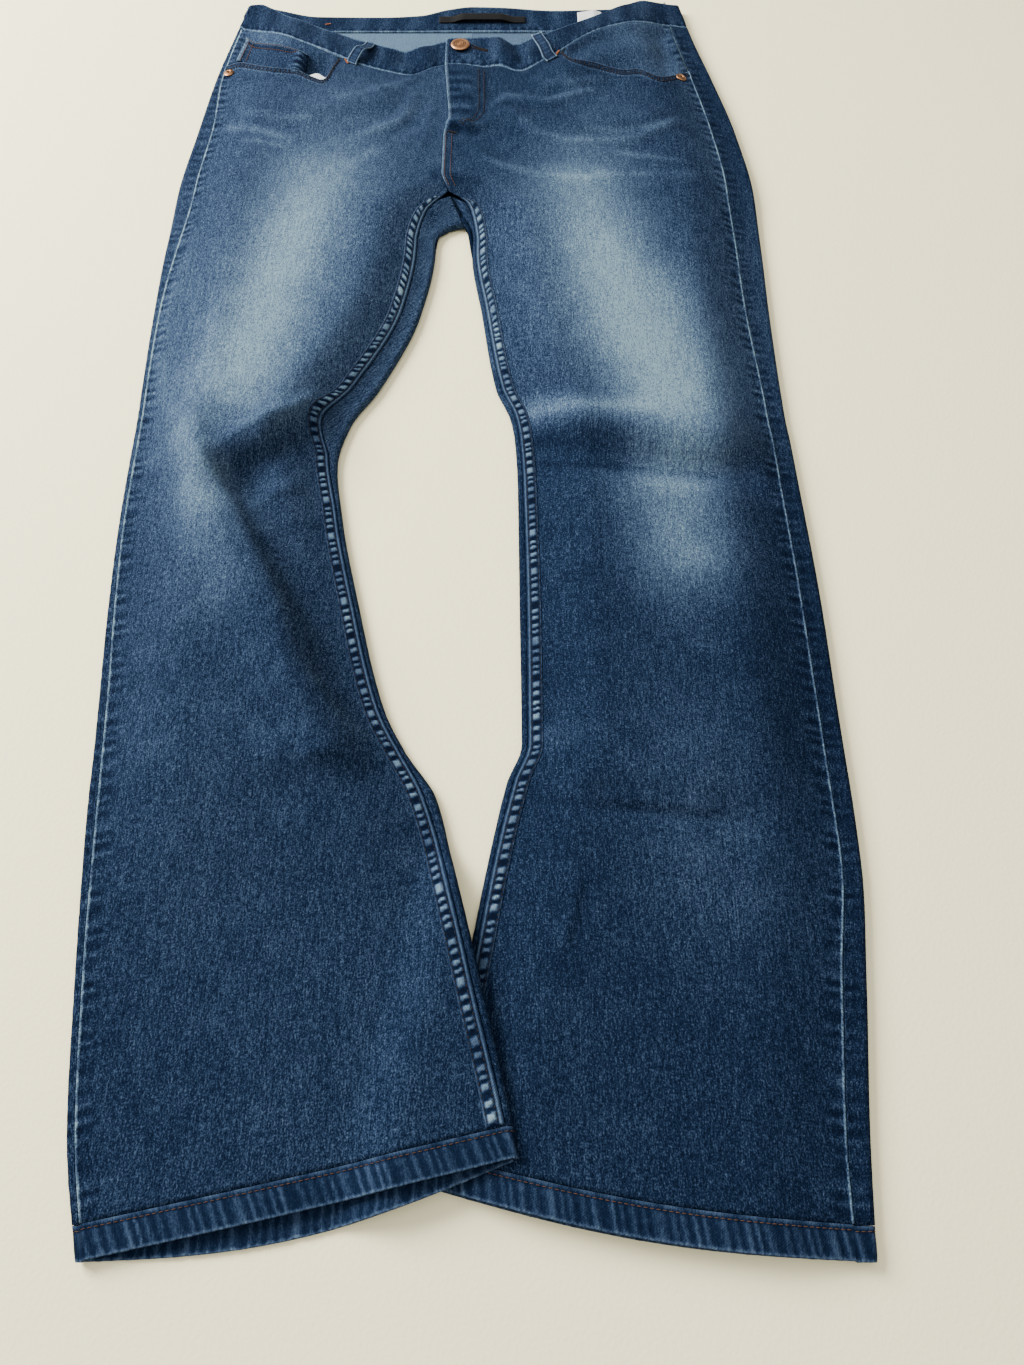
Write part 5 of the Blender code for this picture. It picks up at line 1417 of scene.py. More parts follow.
@dataclass
class Inseam:
    """The felled inseam: a double-stitched band with a ladder of puckers between its rows."""

    leg: Leg
    width: float = 0.97
    step: float = 0.11
    pitch: float = 0.62
    cut: Cut = Cut(0.012, 0.74, 0.0078)
    columns: int = 19
    rows_at: tuple[float, float] = (0.13, 0.68)

    def grid(self) -> tuple[Numbers, Numbers, Numbers, Numbers]:
        """Return the band's points, how far across and along it they lie, and their rows."""
        leg = self.leg
        rows = np.arange(JOIN_ROW + 0.35, LENGTH - HEM_DEPTH - 0.05, self.step)
        share = np.linspace(0.0, 1.0, self.columns)
        xs = leg.seam_in(rows, SEAM_GAP / 2)[0][:, None] - leg.toward * self.width * (1 - share)
        points = leg.front(xs, rows[:, None])
        s = along(points[:, self.columns // 2])[:, None]
        return points, np.broadcast_to(share, xs.shape), np.broadcast_to(s, xs.shape), rows

    def build(self) -> None:
        """Make the band with its rungs, its grooves and its rolled gap edge."""
        leg = self.leg
        base, u, s, rows = self.grid()
        seed = 1.3 * leg.toward
        wave = wavy(s + 0.25 * u * leg.toward, self.pitch, seed)
        twist = smooth(-rows, -46.0, -36.0)[:, None]
        rope = wavy(s - 1.1 * u, self.pitch * 1.25, seed + 2.0)
        wave = wave * (1 - twist) + rope * twist
        ladder = np.exp(-((u - 0.40) / 0.24) ** 4)
        strength = 0.55 + 0.6 * uneven(s, 4.0, seed)
        rung = smooth(wave, -0.35, 0.55) * ladder * strength
        groove = -0.9 * hump(u, self.rows_at[0], 0.05) - 1.0 * hump(u, self.rows_at[1], 0.05)
        edge = 0.9 * hump(u, 0.82, 0.06) + 0.5 * hump(u, 0.03, 0.05) * (0.6 + 0.4 * wavy(s, 0.7, seed + 4.0))
        # painted shade along the band's gap edge
        edge_shade = -0.6 * smooth(u, 0.90, 0.98)
        height = 0.055 * np.sin(math.pi * np.clip(u, 0.02, 0.98)) ** 0.5 + 0.075 * rung
        # the rungs are worn light; the gaps between them are darkened with painted shade
        crest = 2.7 * rung - 1.5 * ladder * (1 - smooth(wave, -0.6, 0.1)) + groove * 0.9 + edge * 1.9 \
            + edge_shade
        points = moved(base, SEAM_GAP + (height + 0.022 * groove + 0.03 * edge))
        y = base[..., 1]
        tone = 0.16 * smooth(y, -2.0, 12.0) + 0.14 * (1 - smooth(y, -47.5, -43.0))
        place = np.stack((u * self.width, s), axis=-1)
        lay("inseam_" + leg.side.word, Cloth(points, place, tone, crest), CLOTH * 0.7, DENIM_SEAM,
            ["front_" + leg.side.word])
        thread = Stitches("inseam_stitches_" + leg.side.word, DARK_THREAD, 0.30, 0.22, 0.026)
        for share in self.rows_at:
            path = points[:, int(round(share * (self.columns - 1)))]
            thread.row(path + UP * 0.012, out_of(leg, path))
        thread.build()


@dataclass
class Hem:
    """A turned hem: a ring with ropes across it, a worn lower edge and one row of stitches."""

    leg: Leg
    pitch: float = 0.62
    cut: Cut = Cut(0.45, 0.017, held=Held.FOLDED)
    row_at: float = 0.15

    def ring_row(self, row: float) -> Numbers:
        """Return one row of the ring: the back's part and then the front's."""
        back = self.leg.back_row(row, 12, 12, 150)[:, :3]
        front = self.leg.front(back[-1, 0] + (back[0, 0] - back[-1, 0]) * np.linspace(0, 1, 170), row)
        front[0], front[-1] = back[-1], back[0]
        return np.concatenate((back, front[1:]))

    def build(self) -> None:
        """Make the hem and its stitches."""
        leg = self.leg
        top, foot = LENGTH - HEM_DEPTH + SEAM_GAP / 2, LENGTH
        rows = np.concatenate((np.linspace(top, foot - 0.25, 12), np.linspace(foot - 0.18, foot, 4)))
        base = np.stack([self.ring_row(float(row)) for row in rows])
        s = np.broadcast_to(along(base[8]), base.shape[:2])
        v = ((rows - top) / (foot - top))[:, None]
        seed = 2.0 + leg.toward
        wave = wavy(s + 0.35 * leg.toward * v, self.pitch, seed)
        ridge = smooth(wave, 0.30, 0.95) * (0.15 + 0.9 * uneven(s, 2.4, seed) * uneven(s, 0.9, seed + 1.0))
        hollow = smooth(-wave, 0.0, 0.8)
        middle = smooth(v, 0.10, 0.22) * (1 - smooth(v, 0.90, 1.0))
        groove = hump(v, self.row_at, 0.05)
        fray = 0.5 + 0.5 * wavy(s, 0.23, seed + 5.0)
        height = 0.055 * ridge * middle - 0.025 * groove + 0.02 * np.sin(math.pi * v) - 0.02 * hollow * middle
        seam = (0.9 + 0.7 * wavy(s, 1.7, seed + 3.0)) * hump(v, 0.03, 0.05)
        # the ropes are worn light; the hollows between them are darkened with painted shade
        crest = 1.5 * ridge * middle - 0.6 * hollow * middle - 0.8 * groove \
            + smooth(v, 0.86, 0.99) * (0.7 + 1.3 * fray) + seam
        out = outward(base)
        points = base + out * height[..., None]
        points[:, -1] = points[:, 0]
        place = np.stack((s, np.broadcast_to(v * HEM_DEPTH, s.shape)), axis=-1)
        lay("hem_" + leg.side.word, Cloth(points, place, crest=crest, ring=True), HEM_CLOTH, DENIM_SEAM,
            ["front_" + leg.side.word], Facing.OUT)
        thread = Stitches("hem_stitches_" + leg.side.word, BROWN_THREAD, 0.32, 0.26, 0.024)
        row = int(np.argmin(np.abs(v[:, 0] - self.row_at)))
        thread.row(points[row] + out[row] * 0.012, out[row])
        thread.build()


@dataclass
class Waistband:
    """The waistband, one strip round the waist whose left end laps over its right end."""

    cut: Cut = Cut(0.91, 0.038, held=Held.FOLDED)
    turned: float = -7.0
    hidden: float = 2.0
    reach: tuple[float, float] = (24.5, 22.5)
    step: float = 0.16

    def row(self, row: float) -> Numbers:
        """Return a row from its hidden end round the back to its top end."""
        start, far = (float(leg.seam_out(0.0, SEAM_GAP / 2)[0]) for leg in LEGS)
        counts = [int(reach / self.step) for reach in self.reach]
        x = start + (self.hidden - start) * np.linspace(0, 1, counts[0])
        right = RIGHT.front(x[::-1], row)
        right[:, 2] -= (BAND_CLOTH + SEAM_GAP) * smooth(right[:, 0], self.turned, float(fly_line(43.0)) - 0.6)
        left = LEFT.front(np.linspace(far, float(LEFT.seam_in(0.0, SEAM_GAP / 2)[0]), counts[1]), row)
        backs = [leg.back_row(row, 8, 10, 120)[:, :3] for leg in LEGS]
        return np.concatenate((right[:-1], backs[0], backs[1][::-1][1:], left[1:]))

    def build(self) -> None:
        """Make the waistband with its rungs over the lower seam and its worn edges."""
        rows = np.concatenate((np.linspace(-BAND_WIDTH, -3.5, 5), np.linspace(-3.3, -1.3, 9),
                               np.linspace(-1.15, -SEAM_GAP, 12)))
        base = np.stack([self.row(float(row)) for row in rows])
        s = np.broadcast_to(along(base[12]), base.shape[:2])
        v = (-rows / BAND_WIDTH)[:, None]
        wave = wavy(s + 0.3 * v, 0.78, 0.7)
        near = hump(v, 0.13, 0.085)
        rungs = wave * near * (0.4 + 0.8 * uneven(s, 5.0, 1.0))
        top, seam, lap = hump(v, 0.985, 0.02), hump(v, 0.022, 0.042), hump(s[:, -1:] - s, 0.0, 0.13)
        height = 0.035 * rungs - 0.02 * hump(v, 0.05, 0.02) + 0.02 * np.sin(math.pi * v)
        crest = 0.8 * rungs + 1.7 * top + 2.4 * seam + 2.4 * lap - 0.8 * hump(v, 0.095, 0.03) \
            + 0.30 * wavy(s, 3.4, 2.0) * (1 - near)
        points = base + outward(base) * height[..., None]
        place = np.stack((s, np.broadcast_to(v * BAND_WIDTH, s.shape)), axis=-1)
        lay("waistband", Cloth(points, place, 0.02, crest), BAND_CLOTH, DENIM_PLAIN,
            ["yoke_right", "yoke_left"], Facing.OUT)


@dataclass
class FrontPocket:
    """A front pocket: its denim facing, its white bag, its bound opening and the coin pocket."""

    leg: Leg
    facing_depth: float = 0.42
    bag_columns: tuple[float, float] = (0.16, 0.80)
    facing_cut: Cut = Cut(0.125, 0.075, 0.0066)
    bag_cut: Cut = Cut(0.115, 0.125, 0.0120)
    gape: Crease = Crease(0.75, 1.5, ((-13.9, 42.6), (-13.6, 41.0)))
    rows: int = 36
    columns: int = 60

    def depth(self, x: Numbers, row: Numbers) -> Numbers:
        """Return how far the facing lies under the front: level with it at its seams."""
        leg = self.leg
        side = smooth(leg.toward * (x - float(leg.seam_out(5.0)[0])), 0.35, 1.9)
        past = smooth(leg.toward * (x - leg.cut_corner), -0.7, -0.1)
        return self.facing_depth * side * (1 - (1 - smooth(row, 0.0, 2.0)) * (1 - past))

    def facing_grid(self, shares: Numbers, fractions: Numbers) -> Numbers:
        """Return points of the facing at shares of its depth, down, and of the front's width, across."""
        leg, grid, start = self.leg, [], float(self.leg.seam_out(5.0)[0])
        for share in shares:

            def row_at(x: Any, share: float = share) -> Numbers:
                """Return the row that this line of the facing reaches at x."""
                tuck = 1.2 * smooth(leg.toward * (x - start), 1.2, 2.6)
                return 4 * SEAM_GAP + (leg.cut(x) - 5 * SEAM_GAP + tuck) * share

            x = leg.bent_columns(0.0, fractions, row_at)
            row = row_at(x)
            grid.append(np.column_stack((leg.front(x, row), self.depth(x, row))))
        stack = np.stack(grid)
        points = moved(stack[..., :3], -stack[..., 3])
        if leg.side is Side.RIGHT:
            points[..., 2] -= relief((self.gape,), points[..., 0], points[..., 1])
        return points

    def facing(self) -> None:
        """Make the denim facing that shows inside the opening."""
        last = 0.565 if self.leg.side is Side.RIGHT else 0.60
        points = self.facing_grid(np.linspace(0, 1, self.rows), np.linspace(0, last, self.columns))
        outer = along(points)
        row = np.broadcast_to(np.linspace(0, 7, self.rows)[:, None], outer.shape)
        seam = np.stack((row, outer, np.full_like(outer, FAR)), axis=-1)
        wear = 0.43 + 0.05 * np.sin(outer * 0.5)
        lay("facing_" + self.leg.side.word, Cloth(points, None, wear, 0.0, seam), CLOTH, DENIM,
            ["pocket_bag_" + self.leg.side.word], inside=DENIM_INSIDE)

    def bag(self) -> None:
        """Make the white bag that hangs behind the opening."""
        leg = self.leg
        grid = []
        for row in np.concatenate((np.linspace(0, 0.5, 6), np.linspace(0.8, 16.0, 34))):
            fade = max(0.0, 1 - row / CUT_FADE) ** 2

            def row_at(x: Any, row: float = row, fade: float = fade) -> Numbers:
                """Return the row that this line of the bag reaches at x."""
                shows = 2.1 * hump(x, -13.75, 0.90) if leg.side is Side.RIGHT else 0.0 * x
                return row + 0.42 + leg.cut(x) * fade - shows * max(0.0, 1 - row / 4)

            x = leg.bent_columns(row, np.linspace(*self.bag_columns, 44), row_at)
            grid.append(leg.front(x, row_at(x)))
        points = moved(np.stack(grid), -(CLOTH + 2 * SEAM_GAP + 0.02))
        lay("pocket_bag_" + leg.side.word, Cloth(points), BAG_CLOTH, POCKET_WHITE,
            ["back_" + leg.side.word])

    def sew_opening(self) -> None:
        """Sew the two rows along the opening and a line of roping between them."""
        leg = self.leg
        rows = Stitches("pocket_stitches_" + leg.side.word, DARK_THREAD, 0.28, 0.22, 0.034)
        x = np.linspace(float(leg.seam_out(7.0, 0.3)[0]), leg.cut_corner, 400)
        for depth in (0.27, 0.80):
            path = leg.front(x, leg.cut(x) + depth)
            out = out_of(leg, path)
            rows.row(path + out * 0.065, out)
        path = spaced(leg.front(x, leg.cut(x) + 0.53), 0.44)
        for here, ahead, out in zip(path[:-1], path[1:], out_of(leg, path[:-1])):
            rows.one(here + out * 0.055, tuple((ahead - here)[:2]), 0.40)
        rows.build()


@dataclass
class CoinPocket:
    """The small pocket on the right facing, sewn with two rows and open at its bulging end."""

    pocket: FrontPocket
    cut: Cut = Cut(0.078, 0.042, 0.0029)
    across: tuple[float, float] = (0.040, 0.365)
    down: tuple[float, float] = (0.20, 0.92)
    columns: int = 44
    rows: int = 26

    def build(self) -> None:
        """Make the coin pocket with its light edge and its rows of stitches."""
        base = self.pocket.facing_grid(np.linspace(*self.down, self.rows),
                                       np.linspace(*self.across, self.columns))
        u, v = np.meshgrid(np.linspace(0, 1, self.columns), np.linspace(0, 1, self.rows))
        bulge = 0.42 * hump(u, 0.90, 0.10) * smooth(v, 0.0, 0.15)
        top, left = hump(v, 0.02, 0.03), hump(u, 0.015, 0.028)
        wave, ladder = wavy(v * 3.2, 0.62, 0.4), hump(u, 0.90, 0.07)
        points = moved(base, SEAM_GAP + 0.11 + 0.03 * top + bulge + 0.05 * wave * ladder)
        crest = 2.4 * left + 1.9 * top + 1.5 * ladder * wave - 0.8 * hump(v, 0.14, 0.07)
        lay("coin_pocket", Cloth(points, None, 0.06, crest), 0.10, DENIM_PLAIN, ["facing_right"])
        thread = Stitches("coin_pocket_stitches", BROWN_THREAD, 0.27, 0.22, 0.040)
        for path in (points[1, :38], points[5, :38], points[2:, 2], points[2:, 5]):
            thread.row(path + UP * 0.02)
        thread.build()


@dataclass
class Fly:
    """The fly: its curved double row, the centre seam's rows, and the zip and shield behind it."""

    shield_cut: Cut = Cut(0.062, 0.095, 0.0056)
    tape_cut: Cut = Cut(0.027, 0.094)
    bend: Line = ((0.86, 41.3), (0.89, 39.0), (0.96, 36.6), (0.90, 35.2), (0.55, 34.2), (0.0, 33.6),
                  (-0.7, 33.1))
    tooth_pitch: float = 0.16

    def sew(self) -> None:
        """Sew the curved rows, the seam below them and the fly's edge."""
        thread = Stitches("fly_stitches", DARK_THREAD, 0.30, 0.24, 0.040)
        for aside in (0.0, 0.48):
            x, y = np.array(self.bend).T
            x = x + aside * np.minimum(1.0, (y - 32.6) / 2.0)
            y = y - aside * 0.35 * np.maximum(0.0, (35.6 - y) / 2.0)
            way = np.concatenate(([0.0], np.cumsum(np.hypot(np.diff(x), np.diff(y)))))
            t = np.linspace(0, way[-1], 200)
            self._line(thread, np.interp(t, way, x), np.interp(t, way, y), 0.085)
        thread.build()
        crotch = Stitches("seat_seam_stitches", BROWN_THREAD, 0.30, 0.24, 0.034)
        y = np.linspace(32.4, 25.6, 160)
        for aside in (0.26, 0.78):
            self._line(crotch, fly_line(y) + aside, y, 0.06)
        crotch.build()
        y = np.linspace(45.4, 34.0, 200)
        edge = Stitches("fly_edge_stitches", BLUE_THREAD, 0.30, 0.22, 0.022)
        self._line(edge, fly_line(y) + 0.28, y, 0.11)
        edge.build()

    @staticmethod
    def _line(thread: Stitches, x: Numbers, y: Numbers, lift: float) -> None:
        """Sew along a line of the left leg's upper skin."""
        path = np.stack((x, y, LEFT.upper(x, y)), axis=-1)
        out = out_of(LEFT, path)
        thread.row(path + out * lift, out)

    def behind(self) -> None:
        """Make the fly shield and the zip's tape with its closed teeth."""
        rows = np.linspace(0.4, 17.0, 40)[:, None]
        shield = moved(LEFT.front(np.linspace(-4.2, 1.9, 24), rows), -0.68)
        lay("fly_shield", Cloth(shield), CLOTH, DENIM_PLAIN, ["front_right"])
        tape = moved(LEFT.front(np.linspace(-3.6, -0.9, 14), rows), -(CLOTH + 2 * SEAM_GAP + 0.06))
        lay("zip_tape", Cloth(tape), 0.06, BLACK_TAPE, ["fly_shield"], slot="brass")
        teeth = Stitches("zip_teeth", BRASS_TEETH, radius=0.05)
        path = spaced((tape[:, 6] + tape[:, 7]) / 2, 0.1)
        places = along(path)
        middles = between(np.arange(0.2, places[-1], self.tooth_pitch), places, path)
        middles[:, 0] += np.where(np.arange(len(middles)) % 2, 0.05, -0.05)
        for middle in middles:
            teeth.one(middle - UP * 0.09, (0.0, 1.0), 0.34)
        teeth.build()


@dataclass
class FrontLoop:
    """A belt loop over the front of the waistband; it stands off between its ends."""

    leg: Leg
    top_x: float
    bottom_x: float
    arch: float
    waves: float
    reach: tuple[float, float]
    width: float = 0.95
    cut: Cut = Cut(0.011, 0.049, held=Held.FOLDED)

    def build(self) -> None:
        """Make the loop with its worn edges."""
        share, u = np.linspace(0, 1, 50), np.linspace(-0.5, 0.5, 17)
        t = share[:, None]
        middle = self.top_x + (self.bottom_x - self.top_x) * t + 0.18 * self.waves * np.sin(2 * math.pi * t)
        base = self.leg.front(middle + self.leg.toward * self.width * u,
                              self.reach[0] + (self.reach[1] - self.reach[0]) * t)
        off = SEAM_GAP * 1.5 + self.arch * np.sin(math.pi * share) ** 2
        off = off + 0.05 * self.waves * np.sin(5 * math.pi * share) * np.sin(math.pi * share)
        across = np.abs(u)[None, :]
        edge, groove = hump(across, 0.47, 0.060), hump(across, 0.33, 0.05)
        ends = (hump(share, 0.985, 0.02) + hump(share, 0.01, 0.02))[:, None]
        ribs = 0.3 * wavy(share * 4.6, 0.5, self.top_x)[:, None] * (1 - edge)
        points = moved(base, off[:, None] + 0.03 * edge - 0.015 * groove + 0.10)
        crest = 2.6 * edge + 2.2 * ends - 1.1 * groove + ribs
        lay("belt_loop_" + self.leg.side.word, Cloth(points, None, 0.08, crest), CLOTH, DENIM_SEAM,
            ["waistband"])
        thread = Stitches("belt_loop_stitches_" + self.leg.side.word, DARK_THREAD, 0.28, 0.21, 0.022)
        for number in (3, 13):
            thread.row(points[2:-2, number] + UP * 0.01)
        thread.build()


@dataclass
class BackLoops:
    """The three belt loops that the back of the waistband lies on."""

    places: tuple[tuple[str, float], ...] = (("belt_loop_back_right", -13.0), ("belt_loop_back", 0.2),
                                             ("belt_loop_back_left", 13.0))
    cut: Cut = Cut(0.010, 0.046, held=Held.FOLDED)
    length: float = 4.6

    def build(self) -> None:
        """Make each loop as a flat folded strip with rounded long edges."""
        across, down = np.meshgrid(np.linspace(-0.5, 0.5, 11), -np.linspace(-0.5, 0.5, 40))
        edge, ends = hump(np.abs(across), 0.45, 0.05), hump(np.abs(down), 0.485, 0.012)
        for name, x in self.places:
            middle = WAIST_Y + 1.5 - max(0.0, float(back_edge(x)))
            points = np.stack((x + across, middle + down * self.length, 0.005 + 0.012 * (1 - edge)), axis=-1)
            lay(name, Cloth(points, None, 0.02, 1.4 * edge + ends), 0.11, DENIM_SEAM, ["waistband"],
                Facing.DOWN)


@dataclass
class BackPocket:
    """A plain back pocket, a five-sided patch with a hemmed top and two rows round its sides."""

    leg: Leg
    middle: tuple[float, float]
    top: float = 7.5
    corner: float = -5.3
    tip: float = -7.5
    half_top: float = 7.0
    half_corner: float = 6.6
    face: float = 0.024
    cut: Cut = Cut(0.14, 0.15, 0.0189)

    def build(self) -> None:
        """Make the patch with its stitches."""
        u, v = np.linspace(-1.0, 1.0, 41)[None], np.linspace(0.0, 1.0, 44)[:, None]
        half = np.interp(v, (0.0, 0.853, 1.0), (self.half_top, self.half_corner, self.half_corner))
        x = u * half
        bottom = self.corner - (self.corner - self.tip) * (1 - np.abs(u))
        y = self.top + (bottom - self.top) * v
        side = np.minimum((1 - np.abs(u)) * half, (y - bottom) * 0.95)
        edge = hump(side, 0.05, 0.10) + hump(v, 0.005, 0.01)
        ropes = 0.5 * wavy(y + 0.3 * x, 0.9, 1.0) * hump(side, 0.3, 0.35)
        z = 0.004 + 0.012 * (1 - np.clip(edge, 0, 1)) * (1 + 0.5 * np.sin(x * 0.9) * np.sin(y * 0.7))
        points = np.stack((x + self.middle[0], y + self.middle[1], np.broadcast_to(z, x.shape)), axis=-1)
        wear = 0.10 * np.exp(-(x / 5.0) ** 2 - ((y + 1.0) / 5.0) ** 2)
        lay("back_pocket_" + self.leg.side.word, Cloth(points, None, wear, 1.2 * edge + ropes), CLOTH - 0.01,
            DENIM_PLAIN, ["back_" + self.leg.side.word], Facing.DOWN, slot="denim_back")
        thread = Stitches("back_pocket_stitches_" + self.leg.side.word, BROWN_THREAD, 0.32, 0.25, 0.022)
        for inset in (0.15, 0.75):
            near, low = 1 - inset / self.half_top, self.corner + inset
            self._line(thread, ((-self.half_top * near, self.top), (-self.half_corner * near, low),
                                (0.0, self.tip + inset), (self.half_corner * near, low),
                                (self.half_top * near, self.top)))
        for down in (0.25, 1.2):
            end = self.half_top - 0.1
            self._line(thread, ((-end, self.top - down), (end, self.top - down)))
        thread.build()

    def _line(self, thread: Stitches, corners: Line) -> None:
        """Sew along a line on the pocket's face, which looks down."""
        path = np.column_stack((np.array(corners) + np.array(self.middle), np.full(len(corners), self.face)))
        path = spaced(path, 0.2)
        thread.row(path, np.broadcast_to(-UP, path.shape))


@dataclass
class InnerTabs:
    """The bare tabs inside the back of the waistband: a black loop and a white tab."""

    tape_cut: Cut = Cut(0.088, 0.010)
    tab_cut: Cut = Cut(0.024, 0.025)

    def build(self) -> None:
        """Make both tabs."""
        face = SEAT_LIFT + BAND_CLOTH + SEAM_GAP
        share, down = np.meshgrid(np.linspace(0, 1, 60), np.linspace(0, 1, 10))
        arch = 0.30 * smooth(share, 0.12, 0.3) * (1 - smooth(share, 0.7, 0.88))
        z = face + 0.07 + arch + 0.015 * np.sin(math.pi * down)
        points = np.stack((-3.2 + 8.4 * share, 52.7 - down, z), axis=-1)
        lay("waist_tape", Cloth(points), 0.07, BLACK_TAPE, ["waistband"])
        u, v = np.meshgrid(np.linspace(0, 1, 24), np.linspace(0, 1, 24))
        lean = np.interp(u, (0.0, 0.33, 0.66, 1.0), (0.0, 0.06, 0.22, 0.0))
        lean = lean + 0.05 * np.sin(math.pi * u) * (1 - v)
        points = np.stack((10.3 + 2.4 * u, 53.4 - 2.5 * v, face + 0.05 + lean), axis=-1)
        lay("care_tab", Cloth(points), 0.05, POCKET_WHITE, ["waistband"])


@dataclass
class Hardware:
    """The waist button and the two rivets, turned from finely stepped profiles."""

    sides: int = 72
    # x, row
    button_place: Point = (-0.9, -2.5)
    rivet_places: Line = ((-22.4, 7.2), (19.4, 8.5))
    # radius, height, how rubbed
    button: Profile = (
        (0.0, 0.375, 1.0), (0.06, 0.378, 1.0), (0.12, 0.372, 0.9), (0.165, 0.352, 0.1), (0.195, 0.342, -0.4),
        (0.225, 0.352, 0.5), (0.255, 0.366, 1.0), (0.285, 0.36, 0.8), (0.315, 0.34, -0.5),
        (0.36, 0.334, -0.3), (0.41, 0.338, 0.3), (0.445, 0.350, 0.7), (0.475, 0.344, 0.2),
        (0.51, 0.330, -0.5), (0.56, 0.338, 0.0), (0.61, 0.358, 0.5), (0.66, 0.366, 0.8), (0.72, 0.360, 0.7),
        (0.78, 0.345, 0.6), (0.83, 0.315, 0.5), (0.865, 0.27, 0.5), (0.872, 0.225, 0.3), (0.85, 0.185, -0.2),
        (0.78, 0.16, -0.5), (0.5, 0.145, -0.8), (0.30, 0.130, -0.8), (0.28, 0.06, -0.8), (0.28, 0.0, -0.8),
        (0.0, 0.0, -0.8))
    rivet: Profile = (
        (0.0, 0.02, -1.6), (0.08, 0.022, -1.6), (0.135, 0.045, -1.3), (0.16, 0.1, 0.1), (0.185, 0.138, 0.8),
        (0.215, 0.15, 0.7), (0.25, 0.142, 0.2), (0.3, 0.128, -0.2), (0.36, 0.118, -0.2), (0.42, 0.098, 0.0),
        (0.465, 0.065, 0.2), (0.485, 0.03, 0.0), (0.487, 0.0, -0.8), (0.0, 0.0, -0.8))

    def spot(self, leg: Leg, x: float, row: float) -> tuple[Numbers, Numbers]:
        """Return a point of the front or the waistband and the direction out of it."""
        step = 0.3
        here = leg.front(np.array([x - step, x, x + step]), row)
        there = leg.front(np.array([x, x]), np.array([row - step, row + step]))
        out = np.cross(here[2] - here[0], there[0] - there[1])
        return here[1], out / np.linalg.norm(out)

    def turn(self, name: str, profile: Profile, centre: Numbers, out: Numbers) -> None:
        """Turn a profile about the direction out of the cloth.

        Args:
            name: the solid that it stands for.
            profile: radius, height and rub of each ring.
            centre: where it sits, in centimetres.
            out: the direction out of the cloth.
        """
        rings = np.array(profile)
        angles = np.linspace(0, 2 * math.pi, self.sides, endpoint=False)[:, None]
        side = np.cross(out, (0.0, 1.0, 0.0))
        side /= np.linalg.norm(side)
        circle = np.cos(angles) * side + np.sin(angles) * np.cross(out, side)
        inner, ends = rings[1:-1], rings[[0, -1]]
        points = centre + inner[:, 0, None, None] * circle[None] + inner[:, 1, None, None] * out
        count, turn = len(inner) * self.sides, np.arange(self.sides)
        after = (turn + 1) % self.sides
        base = count - self.sides
        caps = [np.stack((np.full(self.sides, count), turn, after), axis=-1),
                np.stack((np.full(self.sides, count + 1), base + after, base + turn), axis=-1)]
        faces = grid_faces(len(inner), self.sides, True).tolist() + np.concatenate(caps).tolist()
        flat = np.concatenate((points.reshape(-1, 3), centre + out * ends[:, 1:2]))
        piece = new_object(name + "_turned", metres(flat), faces, COPPER)
        piece.data.validate()
        paint(piece.data, "crest", np.concatenate((np.repeat(inner[:, 2], self.sides), ends[:, 2])))
        seat(piece, COPPER.slot, name)

    def build(self) -> None:
        """Make the button and the rivets."""
        point, out = self.spot(LEFT, *self.button_place)
        self.turn("button", self.button, point + out * SEAM_GAP, out)
        for leg, place in zip(LEGS, self.rivet_places):
            point, out = self.spot(leg, *place)
            self.turn("rivet_" + leg.side.word, self.rivet, point + out * SEAM_GAP * 1.6, out)


@dataclass
class Bartacks:
    """The dense bars at the pocket corners, the fly and the loops, and the buttonhole."""

    # x, y, direction on the cloth
    places: tuple[tuple[float, ...], ...] = ((-11.3, 42.8, 0.5, -1.0), (8.1, 44.0, 0.5, 1.0))
    hole: Line = ((0.05, 45.15), (1.65, 44.35))
    fly_foot: Point = (-1.3, 32.3)

    def build(self) -> None:
        """Sew the bars."""
        thread = Stitches("bartacks", ORANGE_THREAD, 0.1, 0.1, 0.022)
        for leg, (x, y, way_x, way_y) in zip(LEGS, self.places):
            middle = np.array((x, y, float(leg.upper(x, y)) + 0.07))
            thread.bar(middle, (way_x, way_y), 0.75, 0.20, 20)
        thread.bar(np.array((-14.0, 51.5, SEAT_LIFT + BAND_CLOTH + 0.06)), (1.0, 0.3), 0.5, 0.16, 12)
        thread.build()
        hole = Stitches("buttonhole_stitches", DARK_THREAD, 0.1, 0.1, 0.024)
        start, end = np.array(self.hole)
        way = (end - start) / np.linalg.norm(end - start)
        side = np.array((-way[1], way[0]))
        for t in np.linspace(0, 1, 44):
            for sign in (-1, 1):
                spread = 0.10 + 0.12 * smooth(1 - t, 0.6, 1.0)
                x, y = start + (end - start) * t + side * spread * sign
                z = float(LEFT.front(np.array([x]), -2.3)[0, 2]) + 0.05
                hole.one(np.array((x, y, z)), tuple(way), 0.17)
        middle = np.array((*self.fly_foot, float(LEFT.upper(*self.fly_foot)) + 0.09))
        hole.bar(middle, (0.75, -0.3), 0.8, 0.18, 18)
        hole.build()


@dataclass(frozen=True)
class Lamp:
    """A square soft light that faces the middle of the jeans."""

    name: str
    place: tuple[float, float, float]
    size: float
    power: float
    colour: Colour

    def build(self) -> None:
        """Add the light to the scene."""
        data = bpy.data.lights.new(self.name, "AREA")
        data.energy, data.size, data.color = self.power, self.size, self.colour
        lamp = bpy.data.objects.new(self.name, data)
        lamp.location = self.place
        lamp.rotation_euler = (-Vector(self.place)).to_track_quat("-Z", "Y").to_euler()
        bpy.context.scene.collection.objects.link(lamp)


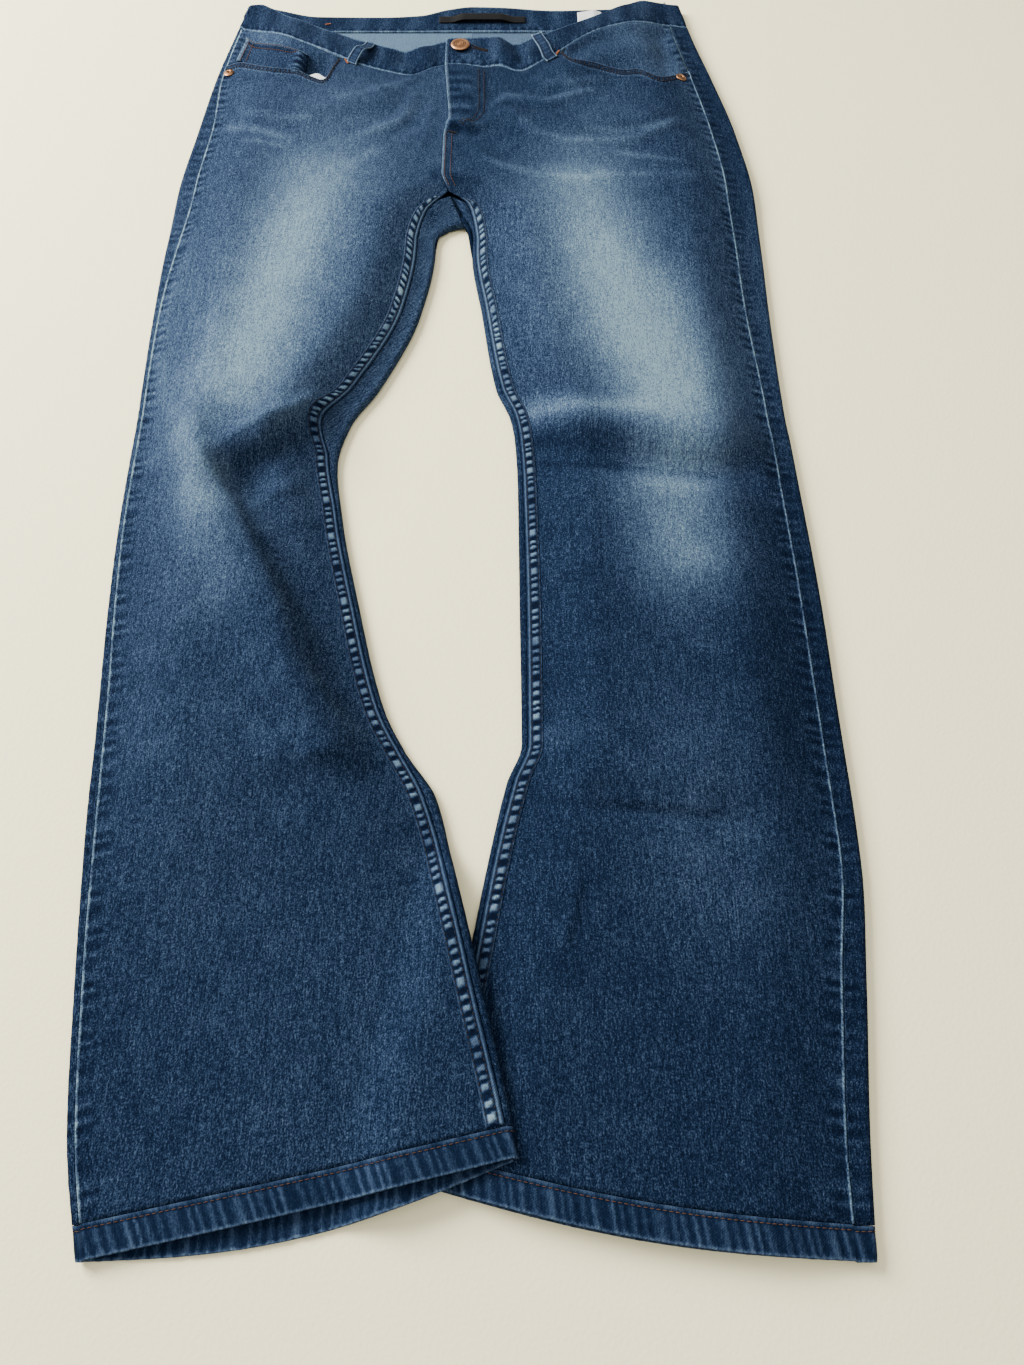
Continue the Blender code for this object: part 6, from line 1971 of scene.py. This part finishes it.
@dataclass
class Studio:
    """The pale surface, the soft light from the far side and the camera, in metres."""

    camera_place: tuple[float, float, float] = (0.0395, -0.5235, 0.585)
    tilt: float = 28.0
    lens: float = 27.06
    floor_half: float = 4.0
    floor_level: float = -0.0002
    lamps: tuple[Lamp, ...] = (Lamp("window", (-1.72, 0.85, 1.22), 1.3, 215.0, (1.0, 0.975, 0.93)),
                               Lamp("fill", (0.3, -0.4, 2.4), 2.8, 44.0, (1.0, 0.985, 0.95)))
    room_colour: Colour = (1.0, 0.98, 0.94)
    room_strength: float = 0.55

    def build(self) -> None:
        """Set up the camera, the surface, the lights and the world."""
        scene = bpy.context.scene
        data = bpy.data.cameras.new("camera")
        data.lens, data.sensor_width, data.clip_start = self.lens, 36.0, 0.01
        camera = bpy.data.objects.new("camera", data)
        camera.location, camera.rotation_euler = self.camera_place, (math.radians(self.tilt), 0.0, 0.0)
        scene.collection.objects.link(camera)
        scene.camera = camera
        corners = np.array(((-1, -1, 0), (1, -1, 0), (1, 1, 0), (-1, 1, 0))) * self.floor_half
        floor = new_object("pale_surface", corners, [[0, 1, 2, 3]], Paper())
        floor.location.z = self.floor_level
        for lamp in self.lamps:
            lamp.build()
        world = bpy.data.worlds.new("room")
        world.use_nodes = True
        background = world.node_tree.nodes["Background"].inputs
        background["Color"].default_value = (*self.room_colour, 1.0)
        background["Strength"].default_value = self.room_strength
        scene.world = world


def main() -> None:
    """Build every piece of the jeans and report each."""
    logging.basicConfig(level=logging.INFO, format="%(message)s")
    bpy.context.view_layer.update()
    Studio().build()
    for leg in LEGS:
        panels = Panels(leg)
        for make in (panels.front, panels.back, panels.yoke, Inseam(leg).build, Hem(leg).build):
            make()
        pocket = FrontPocket(leg)
        pocket.facing()
        pocket.bag()
        pocket.sew_opening()
        BackPocket(leg, BACK_POCKET_PLACES[leg.side]).build()
    CoinPocket(FrontPocket(RIGHT)).build()
    Waistband().build()
    fly = Fly()
    fly.sew()
    fly.behind()
    FrontLoop(RIGHT, top_x=-9.3, bottom_x=-10.8, arch=0.55, waves=1.0, reach=(-3.75, 1.1), width=0.85).build()
    FrontLoop(LEFT, top_x=6.2, bottom_x=7.6, arch=0.30, waves=0.0, reach=(-4.0, 1.5)).build()
    BackLoops().build()
    InnerTabs().build()
    Hardware().build()
    Bartacks().build()
    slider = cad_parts["zip_slider"].data.materials
    slider.clear()
    slider.append(material(BRASS))


if __name__ == "__main__":
    main()
